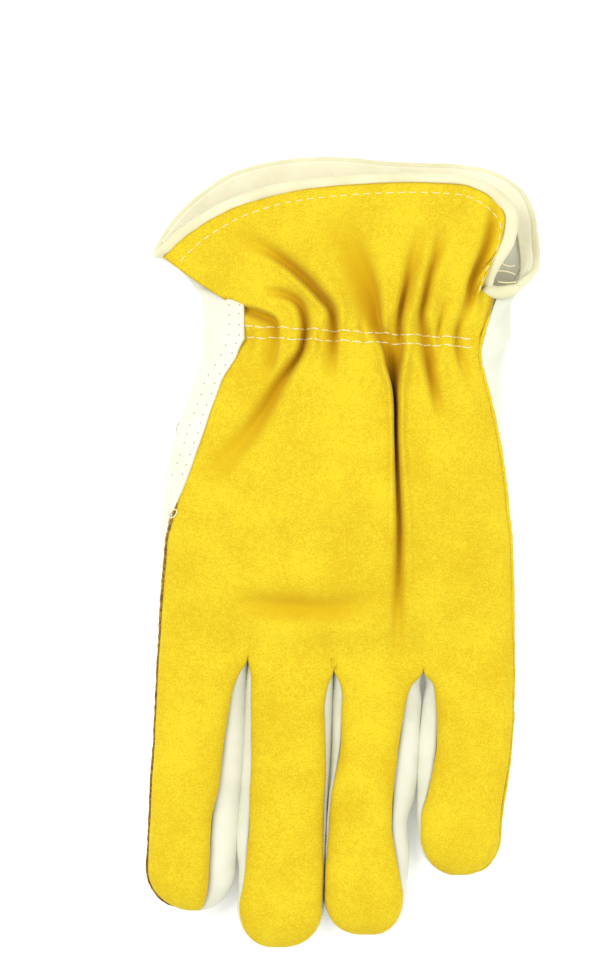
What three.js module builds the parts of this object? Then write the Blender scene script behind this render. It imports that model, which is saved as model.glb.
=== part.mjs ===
// Left-hand leather work glove lying palm down, fingers toward -Y, cuff toward +Y.
// Suede back, grain leather palm, three fourchettes, a thumb folded under the palm and a bound cuff.
import * as THREE from 'three';

// Driving dimensions in millimetres.
const handWidth = 120;          // across the knuckles, over the seams
const palmLength = 111;         // finger roots to the gathered wrist
const rootLine = -39.3;         // Y of the finger roots
const cuffLength = 50;          // gathered wrist to the rim of the back
const cuffWidth = 126;          // mouth of the cuff, side to side
const wristWidth = 104;         // palm side at the wrist
const gatherWidth = 80;         // back panel drawn in at the wrist
const handHeight = 25;          // crown of the back over the floor, at the palm
const wristHeight = 23;         // crown at the gathered wrist
const mouthHeight = 27;         // rim of the back over the floor
const indexLength = 84;         // fingers, from their roots' line to the tip
const middleLength = 94.5;
const ringLength = 88;
const littleLength = 68;
const indexWidth = 30.5;
const middleWidth = 28.5;
const ringWidth = 27.3;
const littleWidth = 31;
const fingerHeight = 16.5;      // crown of a finger
const backSeamHeight = 10.5;    // suede edge along a finger
const palmSeamHeight = 3.2;     // palm edge along a finger
const tipSeamHeight = 6.5;      // where both edges meet at a fingertip
const suedeWall = 1.3;
const grainWall = 1.2;
const seamGap = 0.3;            // clearance between sewn edges
const bandGap = 0.6;            // clearance from the rim to its band
const lapGap = 0.5;             // clearance beside the hand, where both edges curve
const bindingDepth = 3.6;       // band seen beyond the rim
const bindingThickness = 2.8;   // rolled band through its layers
const gatherDip = 1.2;          // groove drawn by the elastic
const foldDepth = 4.2;          // deepest gather fold
const thumbWidth = 34;
const thumbLength = 74;
const thumbHeight = 8;          // the stall lies pressed flat

const halfHand = handWidth / 2;
const halfWrist = wristWidth / 2;
const halfMouth = cuffWidth / 2;
const wristLine = rootLine + palmLength;

// Sections of the hand. at: share of palmLength from the finger roots. wrist: how far the wrist
// sizes rule. left, right: outline as shares of the half width. lapLeft, lapRight: palm leather
// seen beyond the suede, as shares of wristWidth less gatherWidth. crown: share of the height.
const handSections = [
  { at: 0.00, wrist: 0.00, left: 1.017, right: 0.988, lapLeft: 0.04, lapRight: 0.05, crown: 0.72 },
  { at: 0.21, wrist: 0.00, left: 1.005, right: 0.982, lapLeft: 0.06, lapRight: 0.05, crown: 0.86 },
  { at: 0.39, wrist: 0.00, left: 0.985, right: 0.972, lapLeft: 0.08, lapRight: 0.05, crown: 0.95 },
  { at: 0.51, wrist: 0.00, left: 0.980, right: 0.957, lapLeft: 0.22, lapRight: 0.07, crown: 1.00 },
  { at: 0.63, wrist: 0.15, left: 0.964, right: 0.953, lapLeft: 0.33, lapRight: 0.08, crown: 1.00 },
  { at: 0.75, wrist: 0.40, left: 0.938, right: 0.962, lapLeft: 0.38, lapRight: 0.12, crown: 1.00 },
  { at: 0.87, wrist: 0.75, left: 0.900, right: 1.005, lapLeft: 0.38, lapRight: 0.24, crown: 1.00 },
  { at: 0.96, wrist: 1.00, left: 0.872, right: 1.070, lapLeft: 0.48, lapRight: 0.38, crown: 1.00 },
  { at: 1.00, wrist: 1.00, left: 0.875, right: 1.105, lapLeft: 0.58, lapRight: 0.42, crown: 1.00 },
];

// Finger roots, from the thumb side: x in shares of halfHand, y above rootLine in shares of
// palmLength.
const crotches = [
  { x: -0.505, y: 0.039 },
  { x: -0.028, y: 0.000 },
  { x: 0.467, y: -0.006 },
];

// Fingers. tip: x of the fingertip in shares of halfHand. In the sections, at: share of the
// length; left, right: outline; seamLeft, seamRight: suede edge; all from the finger's straight
// axis in shares of its width.
const fingers = [
  {
    name: 'index', length: indexLength, width: indexWidth, tip: -0.828, sections: [
      { at: 0.00, left: -0.50, right: 0.50, seamLeft: -0.47, seamRight: 0.50 },
      { at: 0.07, left: -0.50, right: 0.51, seamLeft: -0.47, seamRight: 0.41 },
      { at: 0.15, left: -0.50, right: 0.51, seamLeft: -0.47, seamRight: 0.34 },
      { at: 0.33, left: -0.50, right: 0.51, seamLeft: -0.47, seamRight: 0.29 },
      { at: 0.49, left: -0.51, right: 0.49, seamLeft: -0.48, seamRight: 0.25 },
      { at: 0.64, left: -0.51, right: 0.475, seamLeft: -0.48, seamRight: 0.20 },
      { at: 0.82, left: -0.51, right: 0.46, seamLeft: -0.48, seamRight: 0.19 },
    ],
  },
  {
    name: 'middle', length: middleLength, width: middleWidth, tip: -0.322, sections: [
      { at: 0.00, left: -0.50, right: 0.50, seamLeft: -0.50, seamRight: 0.50 },
      { at: 0.06, left: -0.51, right: 0.50, seamLeft: -0.46, seamRight: 0.44 },
      { at: 0.13, left: -0.50, right: 0.50, seamLeft: -0.45, seamRight: 0.41 },
      { at: 0.27, left: -0.49, right: 0.50, seamLeft: -0.435, seamRight: 0.44 },
      { at: 0.41, left: -0.475, right: 0.495, seamLeft: -0.415, seamRight: 0.465 },
      { at: 0.55, left: -0.463, right: 0.49, seamLeft: -0.42, seamRight: 0.465 },
      { at: 0.69, left: -0.481, right: 0.485, seamLeft: -0.445, seamRight: 0.465 },
      { at: 0.84, left: -0.53, right: 0.485, seamLeft: -0.505, seamRight: 0.465 },
    ],
  },
  {
    name: 'ring', length: ringLength, width: ringWidth, tip: 0.155, sections: [
      { at: 0.00, left: -0.54, right: 0.54, seamLeft: -0.54, seamRight: 0.54 },
      { at: 0.05, left: -0.51, right: 0.50, seamLeft: -0.465, seamRight: 0.41 },
      { at: 0.11, left: -0.50, right: 0.46, seamLeft: -0.425, seamRight: 0.35 },
      { at: 0.26, left: -0.48, right: 0.435, seamLeft: -0.42, seamRight: 0.305 },
      { at: 0.41, left: -0.47, right: 0.43, seamLeft: -0.445, seamRight: 0.26 },
      { at: 0.56, left: -0.465, right: 0.45, seamLeft: -0.44, seamRight: 0.256 },
      { at: 0.71, left: -0.46, right: 0.473, seamLeft: -0.435, seamRight: 0.326 },
      { at: 0.84, left: -0.46, right: 0.469, seamLeft: -0.435, seamRight: 0.418 },
    ],
  },
  {
    name: 'little', length: littleLength, width: littleWidth, tip: 0.672, sections: [
      { at: 0.00, left: -0.50, right: 0.50, seamLeft: -0.50, seamRight: 0.47 },
      { at: 0.07, left: -0.47, right: 0.505, seamLeft: -0.385, seamRight: 0.47 },
      { at: 0.23, left: -0.49, right: 0.515, seamLeft: -0.326, seamRight: 0.48 },
      { at: 0.35, left: -0.50, right: 0.51, seamLeft: -0.326, seamRight: 0.475 },
      { at: 0.47, left: -0.50, right: 0.495, seamLeft: -0.345, seamRight: 0.46 },
      { at: 0.59, left: -0.495, right: 0.47, seamLeft: -0.395, seamRight: 0.435 },
      { at: 0.70, left: -0.49, right: 0.445, seamLeft: -0.455, seamRight: 0.41 },
      { at: 0.78, left: -0.47, right: 0.435, seamLeft: -0.45, seamRight: 0.40 },
    ],
  },
];

// Rim of the back, from the thumb side to the seam at the little finger side. at: share across
// the panel; x in shares of halfMouth; y above the wrist line in shares of cuffLength; z in
// shares of mouthHeight; hang: how long the edge stays at the wrist's width before it flares.
const backRim = [
  { at: 0.00, x: -0.930, y: 0.550, z: 0.40, hang: 0.33 },
  { at: 0.08, x: -0.845, y: 0.650, z: 0.50, hang: 0.28 },
  { at: 0.17, x: -0.712, y: 0.765, z: 0.66, hang: 0.20 },
  { at: 0.28, x: -0.525, y: 0.880, z: 0.80, hang: 0.10 },
  { at: 0.41, x: -0.260, y: 0.970, z: 0.91, hang: 0.02 },
  { at: 0.54, x: 0.060, y: 1.010, z: 0.98, hang: 0.00 },
  { at: 0.66, x: 0.376, y: 1.025, z: 1.00, hang: 0.00 },
  { at: 0.77, x: 0.640, y: 1.010, z: 0.98, hang: 0.00 },
  { at: 0.84, x: 0.798, y: 0.925, z: 0.93, hang: 0.15 },
  { at: 0.89, x: 0.868, y: 0.795, z: 0.86, hang: 0.40 },
  { at: 0.93, x: 0.848, y: 0.635, z: 0.79, hang: 0.50 },
  { at: 0.965, x: 0.780, y: 0.475, z: 0.72, hang: 0.50 },
  { at: 0.985, x: 0.762, y: 0.360, z: 0.66, hang: 0.40 },
  { at: 1.00, x: 0.815, y: 0.270, z: 0.55, hang: 0.00 },
];

// Rim of the palm, the same way round and in the same shares.
const palmRim = [
  { at: 0.00, x: -0.945, y: 0.552, z: 0.30, hang: 0.33 },
  { at: 0.05, x: -0.955, y: 0.590, z: 0.20, hang: 0.30 },
  { at: 0.12, x: -0.900, y: 0.690, z: 0.10, hang: 0.30 },
  { at: 0.20, x: -0.762, y: 0.880, z: 0.06, hang: 0.20 },
  { at: 0.30, x: -0.524, y: 1.080, z: 0.06, hang: 0.10 },
  { at: 0.40, x: -0.286, y: 1.150, z: 0.06, hang: 0.00 },
  { at: 0.50, x: -0.040, y: 1.170, z: 0.06, hang: 0.00 },
  { at: 0.60, x: 0.300, y: 1.135, z: 0.06, hang: 0.00 },
  { at: 0.70, x: 0.620, y: 1.120, z: 0.06, hang: 0.00 },
  { at: 0.77, x: 0.840, y: 1.060, z: 0.06, hang: 0.00 },
  { at: 0.83, x: 0.965, y: 0.930, z: 0.06, hang: 0.30 },
  { at: 0.88, x: 1.010, y: 0.740, z: 0.08, hang: 0.45 },
  { at: 0.93, x: 1.015, y: 0.520, z: 0.15, hang: 0.55 },
  { at: 0.97, x: 0.960, y: 0.350, z: 0.34, hang: 0.30 },
  { at: 1.00, x: 0.830, y: 0.268, z: 0.51, hang: 0.00 },
];

// Gather folds of the back. depth: share of foldDepth. width: half the valley, in shares of
// gatherWidth. Each path runs from the cuff to the hand: x in shares of halfHand, y from the
// wrist line in shares of palmLength, with the share of the depth reached there.
const folds = [
  { name: 'flap crease', depth: 0.55, width: 0.040, path: [
    { x: -0.52, y: 0.10, deep: 1.0 }, { x: -0.43, y: 0.07, deep: 1.0 },
    { x: -0.35, y: 0.045, deep: 0.3 }] },
  { name: 'crescent', depth: 0.95, width: 0.045, path: [
    { x: -0.40, y: 0.155, deep: 0.3 }, { x: -0.22, y: 0.085, deep: 1.0 },
    { x: -0.20, y: -0.02, deep: 1.0 }, { x: -0.27, y: -0.14, deep: 0.8 },
    { x: -0.39, y: -0.22, deep: 0.5 }, { x: -0.68, y: -0.34, deep: 0.1 }] },
  { name: 'flap sweep', depth: 0.85, width: 0.045, path: [
    { x: -0.52, y: 0.27, deep: 0.2 }, { x: -0.22, y: 0.16, deep: 0.9 },
    { x: -0.08, y: 0.10, deep: 1.0 }, { x: -0.05, y: -0.03, deep: 0.6 },
    { x: -0.03, y: -0.11, deep: 0.0 }] },
  { name: 'long crease', depth: 1.0, width: 0.050, path: [
    { x: -0.02, y: 0.31, deep: 0.1 }, { x: 0.09, y: 0.175, deep: 0.5 },
    { x: 0.18, y: 0.01, deep: 0.8 }, { x: 0.295, y: -0.14, deep: 1.0 },
    { x: 0.318, y: -0.31, deep: 0.9 }, { x: 0.318, y: -0.49, deep: 0.5 },
    { x: 0.33, y: -0.90, deep: 0.05 }] },
  { name: 'branch', depth: 0.8, width: 0.045, path: [
    { x: 0.52, y: 0.42, deep: 0.1 }, { x: 0.44, y: 0.265, deep: 0.6 },
    { x: 0.35, y: 0.145, deep: 1.0 }, { x: 0.335, y: 0.00, deep: 0.9 },
    { x: 0.30, y: -0.14, deep: 0.4 }] },
  { name: 'outer gather', depth: 0.85, width: 0.042, path: [
    { x: 0.62, y: 0.39, deep: 0.1 }, { x: 0.53, y: 0.27, deep: 0.6 },
    { x: 0.47, y: 0.12, deep: 1.0 }, { x: 0.46, y: -0.03, deep: 1.0 },
    { x: 0.53, y: -0.22, deep: 0.5 }, { x: 0.55, y: -0.30, deep: 0.0 }] },
  { name: 'edge gather', depth: 0.75, width: 0.042, path: [
    { x: 0.81, y: 0.265, deep: 0.3 }, { x: 0.74, y: 0.14, deep: 1.0 },
    { x: 0.66, y: 0.03, deep: 0.8 }, { x: 0.66, y: -0.03, deep: 0.6 },
    { x: 0.70, y: -0.12, deep: 0.0 }] },
];

const lerp = (a, b, t) => a + (b - a) * t;
const clamp = (v, low, high) => Math.min(Math.max(v, low), high);
const ease = (t) => {
  const u = clamp(t, 0, 1);
  return u * u * (3 - 2 * u);
};

// Reads one column of a table at a place, by a smooth curve that never overshoots its rows.
function read(table, key, at) {
  const last = table.length - 1;
  if (at <= table[0].at) return table[0][key];
  if (at >= table[last].at) return table[last][key];
  let i = 0;
  while (table[i + 1].at < at) i += 1;
  const slope = (k) => (table[k + 1][key] - table[k][key]) / (table[k + 1].at - table[k].at);
  const tangent = (k) => {
    if (k === 0) return slope(0);
    if (k === last) return slope(last - 1);
    const before = slope(k - 1);
    const after = slope(k);
    return before * after <= 0 ? 0 : 2 * before * after / (before + after);
  };
  const span = table[i + 1].at - table[i].at;
  const t = (at - table[i].at) / span;
  const a = table[i][key];
  const b = table[i + 1][key];
  const t2 = t * t;
  const t3 = t2 * t;
  return a * (2 * t3 - 3 * t2 + 1) + b * (3 * t2 - 2 * t3)
    + span * (tangent(i) * (t3 - 2 * t2 + t) + tangent(i + 1) * (t3 - t2));
}

// Crown of a section: 0 at both edges, 1 over the middle.
const crownShape = 2.6;
const crown = (q) => Math.pow(1 - Math.pow(Math.abs(2 * clamp(q, 0, 1) - 1), crownShape), 1 / crownShape);
const sideShare = 0.34;         // height of the widest line in shares of the crown
const footWidth = 12;           // quarter round from the side to the flat palm
const footInset = 0.35 * footWidth;

// Outline, suede edges and height of the hand at a Y.
function handAt(y) {
  const at = (y - rootLine) / palmLength;
  const wrist = read(handSections, 'wrist', at);
  const half = lerp(halfHand, halfWrist, wrist);
  const slack = wristWidth - gatherWidth;
  const left = -half * read(handSections, 'left', at);
  const right = half * read(handSections, 'right', at);
  const top = lerp(handHeight, wristHeight, wrist) * read(handSections, 'crown', at);
  return {
    left,
    right,
    seamLeft: left + slack * read(handSections, 'lapLeft', at),
    seamRight: right - slack * read(handSections, 'lapRight', at),
    top,
    side: top * sideShare,
  };
}

const topOfHand = (s, x) => s.side + (s.top - s.side) * crown((x - s.left) / (s.right - s.left));

// The thumb lies under the palm between these two points, given from the hand's own sizes.
const thumbRoot = new THREE.Vector2(-0.62 * halfHand, wristLine - 0.34 * palmLength);
const thumbAim = new THREE.Vector2(0.36, -0.933);
const thumbReach = thumbLength - thumbWidth;
const thumbEnd = thumbRoot.clone().addScaledVector(thumbAim, thumbReach);
const thumbClear = thumbHeight + seamGap;
const thumbMouth = 0.3 * thumbWidth;    // radius of the hole that the thumb goes through
const riseStart = 0.54 * thumbWidth;    // the palm is fully lifted up to here from the thumb's axis
const riseWidth = 0.42 * thumbWidth;    // and comes down to the floor over this width

function thumbDistance(x, y) {
  const dx = x - thumbRoot.x;
  const dy = y - thumbRoot.y;
  const along = clamp(dx * thumbAim.x + dy * thumbAim.y, 0, thumbReach);
  return Math.hypot(dx - along * thumbAim.x, dy - along * thumbAim.y);
}

// Underside of the palm: flat on the floor, round at both sides and lifted over the thumb.
function underHand(s, x, y) {
  const fromEdge = Math.min(x - s.left, s.right - x);
  const u = clamp(1 - fromEdge / footWidth, 0, 1);
  const foot = s.side * (1 - Math.sqrt(1 - u * u));
  const over = 1 - ease((thumbDistance(x, y) - riseStart) / riseWidth);
  return lerp(foot, Math.max(foot, thumbClear), over);
}

// Corners of finger f at its root, and its axis.
function fingerRoot(f) {
  const s = handAt(rootLine);
  const cornerAt = (k, x) => (k < 0 || k > 2
    ? new THREE.Vector2(x, rootLine + palmLength * crotches[clamp(k, 0, 2)].y)
    : new THREE.Vector2(crotches[k].x * halfHand, rootLine + palmLength * crotches[k].y));
  return { left: cornerAt(f - 1, s.left), right: cornerAt(f, s.right) };
}

const crotchReach = 0.07;       // share of a finger's length over which it leaves the crotch

// Section of finger f at a share of its length.
function fingerAt(f, at) {
  const finger = fingers[f];
  const root = fingerRoot(f);
  const rootX = (root.left.x + root.right.x) / 2;
  const axis = lerp(rootX, finger.tip * halfHand, at);
  const place = (key) => axis + finger.width * read(finger.sections, key, at);
  const settle = ease(at / crotchReach);
  const s = {
    left: lerp(root.left.x, place('left'), settle),
    right: lerp(root.right.x, place('right'), settle),
    seamLeft: lerp(root.left.x, place('seamLeft'), settle),
    seamRight: lerp(root.right.x, place('seamRight'), settle),
  };
  const edge = handAt(rootLine);
  if (f === 0) s.seamLeft = lerp(edge.seamLeft, place('seamLeft'), settle);
  if (f === 3) s.seamRight = lerp(edge.seamRight, place('seamRight'), settle);
  return s;
}

const tipShare = 0.47;          // length of the round tip in shares of the finger's width
const tipTurn = 80 * Math.PI / 180;
const tipPoint = 0.86;          // below 1 blunts the tip's outline
const tipRound = 0.75;          // below 1 keeps the tip full until its end

// Row r of finger f, from 0 at the root through 1 at the start of the tip to 2 at its end:
// how far down the finger, and how much of the width and of the height is left.
function fingerRow(f, r) {
  const finger = fingers[f];
  const bodyEnd = 1 - tipShare * finger.width / finger.length;
  if (r <= 1) return { at: bodyEnd * r, along: bodyEnd * r, spread: 1, rise: 1 };
  const turn = (r - 1) * tipTurn;
  const round = Math.cos(turn);
  return {
    at: bodyEnd,
    along: bodyEnd + (1 - bodyEnd) * Math.sin(turn) / Math.sin(tipTurn),
    spread: Math.pow(round, tipPoint),
    rise: r >= 2 ? 0 : Math.pow(round, tipRound),
  };
}

const fingerCurve = 0.8;        // below 1 squares the section
const outerLap = 0.16;          // share of an outer finger's palm side that turns over its top

// Places a point of a finger's section on a row. tipZ: height of its edge at the fingertip.
function placeOnFinger(f, r, sideways, x, z, tipZ) {
  const finger = fingers[f];
  const row = fingerRow(f, r);
  const root = fingerRoot(f);
  const rootY = lerp(root.left.y, root.right.y, sideways);
  const tipY = (root.left.y + root.right.y) / 2 - finger.length;
  const tipX = finger.tip * halfHand;
  return new THREE.Vector3(
    tipX + (x - tipX) * row.spread,
    lerp(rootY, tipY, row.along),
    tipZ + (z - tipZ) * row.rise,
  );
}

function fingerBack(f, r, s) {
  const section = fingerAt(f, fingerRow(f, r).at);
  const turn = Math.PI * (1 - s);
  const c = Math.cos(turn);
  const middle = (section.seamLeft + section.seamRight) / 2;
  const half = (section.seamRight - section.seamLeft) / 2;
  const x = middle + half * Math.sign(c) * Math.pow(Math.abs(c), fingerCurve);
  const lift = (fingerHeight - backSeamHeight) * Math.pow(Math.abs(Math.sin(turn)), fingerCurve);
  return placeOnFinger(f, r, s, x, backSeamHeight + lift, tipSeamHeight + seamGap);
}

// Palm side of a finger. On the two outer sides the leather comes up to the suede edge.
function fingerPalm(f, r, s) {
  const section = fingerAt(f, fingerRow(f, r).at);
  const outerLeft = f === 0;
  const outerRight = f === 3;
  const left = outerLeft ? section.left : Math.min(section.seamLeft, section.left + grainWall);
  const right = outerRight ? section.right : Math.max(section.seamRight, section.right - grainWall);
  const turn = Math.PI * (1 - s);
  const c = Math.cos(turn);
  const middle = (left + right) / 2;
  const half = (right - left) / 2;
  let x = middle + half * Math.sign(c) * Math.pow(Math.abs(c), fingerCurve);
  const high = (c < 0 ? outerLeft : outerRight) ? backSeamHeight - seamGap : palmSeamHeight;
  const z = high * (1 - Math.pow(Math.abs(Math.sin(turn)), fingerCurve));
  if (outerLeft && s < outerLap) x = lerp(section.seamLeft, x, Math.sqrt(s / outerLap));
  if (outerRight && 1 - s < outerLap) x = lerp(section.seamRight, x, Math.sqrt((1 - s) / outerLap));
  return placeOnFinger(f, r, s, x, z, tipSeamHeight - seamGap);
}

const gridStep = 0.002;         // step on the grid that measures a normal

// A sheet is a set of patches. Each patch gives points over a grid of columns and rows, and
// names the corners that it shares with its neighbours.
class Sheet {
  constructor() {
    this.points = [];
    this.normals = [];
    this.names = new Map();
    this.faces = [];
  }

  vertex(name, point, normal) {
    if (!this.names.has(name)) {
      this.names.set(name, this.points.length);
      this.points.push(point);
      this.normals.push(new THREE.Vector3());
    }
    const index = this.names.get(name);
    this.normals[index].add(normal);
    return index;
  }

  // surface(c, r) gives the smooth form. Columns and rows are lists of grid values.
  patch(surface, columns, rows, nameOf, keep = () => true) {
    const grid = columns.map((c, i) => rows.map((r, j) => {
      const point = surface(c, r);
      return this.vertex(nameOf(i, j), point, this.normalOf(surface, columns, rows, c, r));
    }));
    for (let i = 0; i + 1 < columns.length; i += 1) {
      for (let j = 0; j + 1 < rows.length; j += 1) {
        if (keep(i, j)) {
          this.faces.push([grid[i][j], grid[i + 1][j], grid[i + 1][j + 1], grid[i][j + 1]]);
        }
      }
    }
  }

  normalOf(surface, columns, rows, c, r) {
    const lastColumn = columns[columns.length - 1];
    const lastRow = rows[rows.length - 1];
    const c0 = clamp(c - gridStep, columns[0], lastColumn);
    const c1 = clamp(c + gridStep, columns[0], lastColumn);
    const r0 = clamp(r - gridStep, rows[0], lastRow);
    const r1 = clamp(r + gridStep, rows[0], lastRow);
    const across = surface(c1, r).sub(surface(c0, r));
    const along = surface(c, r1).sub(surface(c, r0));
    return across.cross(along).normalize();
  }

  // Closed wall: outer skin, inner skin and the edges between them. sign turns the outer side.
  wall(thickness, sign, shift = () => 0) {
    const count = this.points.length;
    const position = new Float32Array(count * 6);
    this.points.forEach((point, k) => {
      const normal = this.normals[k].clone().normalize().multiplyScalar(sign);
      const out = shift(point);
      const outer = point.clone().addScaledVector(normal, out);
      const inner = point.clone().addScaledVector(normal, out - thickness);
      outer.toArray(position, k * 3);
      inner.toArray(position, (k + count) * 3);
    });
    const index = [];
    const edges = new Map();
    for (const face of this.faces) {
      const loop = sign > 0 ? face : [...face].reverse();
      for (let k = 1; k + 1 < loop.length; k += 1) {
        index.push(loop[0], loop[k], loop[k + 1]);
        index.push(loop[0] + count, loop[k + 1] + count, loop[k] + count);
      }
      loop.forEach((a, k) => {
        const b = loop[(k + 1) % loop.length];
        if (edges.has(`${b},${a}`)) edges.delete(`${b},${a}`);
        else edges.set(`${a},${b}`, [a, b]);
      });
    }
    for (const [a, b] of edges.values()) {
      index.push(b, a, a + count);
      index.push(b, a + count, b + count);
    }
    const geometry = new THREE.BufferGeometry();
    geometry.setAttribute('position', new THREE.BufferAttribute(position, 3));
    geometry.setIndex(index);
    geometry.computeVertexNormals();
    return geometry;
  }
}

const steps = (count, first = 0, last = 1) => (
  Array.from({ length: count + 1 }, (_, k) => lerp(first, last, k / count)));

// Smooth path of a fold, cut into short straight runs.
function foldRuns(fold) {
  const curve = new THREE.CatmullRomCurve3(fold.path.map((row) => (
    new THREE.Vector3(row.x * halfHand, wristLine + row.y * palmLength, row.deep))));
  return curve.getPoints(fold.path.length * 5);
}
const foldPaths = folds.map((fold) => ({
  points: foldRuns(fold),
  depth: fold.depth * foldDepth,
  width: fold.width * gatherWidth,
}));

const puffShare = 0.3;          // height of the puffs beside a valley in shares of its depth
const elasticWidth = 0.04 * palmLength;

// How far the suede leaves its smooth form: valleys, the puffs beside them and the drawn wrist.
function gathers(point) {
  let out = 0;
  for (const fold of foldPaths) {
    let near = Infinity;
    let deep = 0;
    for (let k = 0; k + 1 < fold.points.length; k += 1) {
      const a = fold.points[k];
      const b = fold.points[k + 1];
      const dx = b.x - a.x;
      const dy = b.y - a.y;
      const t = clamp(((point.x - a.x) * dx + (point.y - a.y) * dy) / (dx * dx + dy * dy), 0, 1);
      const d = Math.hypot(point.x - a.x - t * dx, point.y - a.y - t * dy);
      if (d < near) {
        near = d;
        deep = lerp(a.z, b.z, t);
      }
    }
    const u = near / fold.width;
    out -= fold.depth * deep * Math.exp(-u * u);
    out += puffShare * fold.depth * deep * Math.exp(-(u - 2) * (u - 2));
  }
  const fromWrist = (point.y - wristLine) / elasticWidth;
  out -= gatherDip * Math.exp(-fromWrist * fromWrist);
  return out;
}

// A line from the wrist to the rim that keeps its width for a while and then flares.
const flareSoftness = 0.004;
function flare(from, to, t, hang) {
  const bend = (u) => (u - hang + Math.sqrt((u - hang) * (u - hang) + flareSoftness)) / 2;
  const side = (bend(t) - bend(0)) / (bend(1) - bend(0));
  return new THREE.Vector3(
    lerp(from.x, to.x, side),
    lerp(from.y, to.y, t),
    lerp(from.z, to.z, t),
  );
}

function rimPoint(table, at) {
  return new THREE.Vector3(
    halfMouth * read(table, 'x', at),
    wristLine + cuffLength * read(table, 'y', at),
    mouthHeight * read(table, 'z', at),
  );
}

const fingerColumns = 9;        // back columns on each finger
const backColumns = fingerColumns * 4;
const handRows = 18;
const cuffRows = 12;
const knuckleReach = 30;        // how far the fingers' crowns run up into the back
const palmKnuckleReach = 18;    // and into the palm
const backSpread = 0.6 * palmLength;    // the columns even out over this length of the back
const palmSpread = 0.5 * palmLength;    // and of the palm

// Back of the hand over c, 0 to backColumns, and v, 0 at the roots to 1 at the wrist.
function backOfHand(c, v) {
  const f = clamp(Math.floor(c / fingerColumns), 0, 3);
  const root = fingerBack(f, 0, c / fingerColumns - f);
  const y = lerp(root.y, wristLine, v);
  const s = handAt(y);
  const low = handAt(rootLine);
  const rootShare = (root.x - low.seamLeft) / (low.seamRight - low.seamLeft);
  const spread = 1 - ease((y - rootLine) / backSpread);
  const share = lerp(c / backColumns, rootShare, spread);
  const x = lerp(s.seamLeft, s.seamRight, share);
  const z = topOfHand(s, x);
  const near = 1 - ease((y - root.y) / knuckleReach);
  return new THREE.Vector3(x, y, lerp(z, root.z, near));
}

// Back of the cuff over c and v, 0 at the wrist to 1 at the rim.
function backOfCuff(c, v) {
  const share = c / backColumns;
  return flare(backOfHand(c, 1), rimPoint(backRim, share), v, read(backRim, 'hang', share));
}

const bodyRows = [0, 0.07, 0.16, 0.32, 0.5, 0.68, 0.85, 1];
const tipRows = [1.3, 1.58, 1.8, 2];
const fingerRows = [...bodyRows, ...tipRows];

function backPanel() {
  const sheet = new Sheet();
  const columns = steps(backColumns, 0, backColumns);
  sheet.patch(backOfHand, columns, steps(handRows), (i, j) => (
    j === handRows ? `wrist ${i}` : `hand ${i} ${j}`));
  sheet.patch(backOfCuff, columns, steps(cuffRows), (i, j) => (
    j === 0 ? `wrist ${i}` : `cuff ${i} ${j}`));
  fingers.forEach((finger, f) => {
    const surface = (s, r) => fingerBack(f, -r, s);
    const rows = fingerRows.map((r) => -r).reverse();
    sheet.patch(surface, steps(fingerColumns), rows, (i, j) => (
      j === rows.length - 1 ? `hand ${f * fingerColumns + i} 0` : `${finger.name} ${i} ${j}`));
  });
  return sheet.wall(suedeWall, 1, gathers);
}

// Columns of the palm: three from the suede edge round each side, the rest shared by the fingers.
const palmColumns = [7, 5, 5, 7];
const palmStart = [0, 7, 12, 17];
const palmTotal = 24;
const palmRows = 13;
const palmCuffRows = 6;
const wrapColumns = 3;
const topOfWrap = 2 / 3;        // share of those columns that lies over the top

// Palm of the hand over c, 0 to palmTotal, and v, 0 at the roots to 1 at the wrist.
function palmOfHand(c, v) {
  let f = 3;
  while (f > 0 && c < palmStart[f]) f -= 1;
  const root = fingerPalm(f, 0, (c - palmStart[f]) / palmColumns[f]);
  const y = lerp(root.y, wristLine, v);
  const s = handAt(y);
  const low = handAt(rootLine);
  const fromLeft = c / wrapColumns;
  const fromRight = (palmTotal - c) / wrapColumns;
  const point = new THREE.Vector3(0, y, 0);
  if (fromLeft < 1 || fromRight < 1) {
    // The side: over the top to the outline, then down and in to the foot.
    const onLeft = fromLeft < 1;
    const turn = onLeft ? fromLeft : fromRight;
    const seam = onLeft ? s.seamLeft - lapGap : s.seamRight + lapGap;
    const edge = onLeft ? s.left : s.right;
    const foot = onLeft ? s.left + footInset : s.right - footInset;
    if (turn < topOfWrap) {
      const round = Math.sin(turn / topOfWrap * Math.PI / 2);
      point.x = lerp(seam, edge, round);
      point.z = topOfHand(s, point.x);
    } else {
      const under = (turn - topOfWrap) / (1 - topOfWrap);
      point.x = lerp(edge, foot, 1 - Math.cos(under * Math.PI / 2));
      point.z = underHand(s, point.x, y);
    }
  } else {
    const span = (c - wrapColumns) / (palmTotal - 2 * wrapColumns);
    const first = s.left + footInset;
    const last = s.right - footInset;
    const rootShare = (root.x - low.left) / (low.right - low.left);
    const spread = 1 - ease((y - rootLine) / palmSpread);
    point.x = lerp(first, last, lerp(span, rootShare, spread));
    point.z = underHand(s, point.x, y);
  }
  const near = 1 - ease((y - root.y) / palmKnuckleReach);
  point.x = lerp(point.x, root.x, near * near);
  point.z = lerp(point.z, root.z, near);
  return point;
}

function palmOfCuff(c, v) {
  const share = c / palmTotal;
  return flare(palmOfHand(c, 1), rimPoint(palmRim, share), v, read(palmRim, 'hang', share));
}

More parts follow.
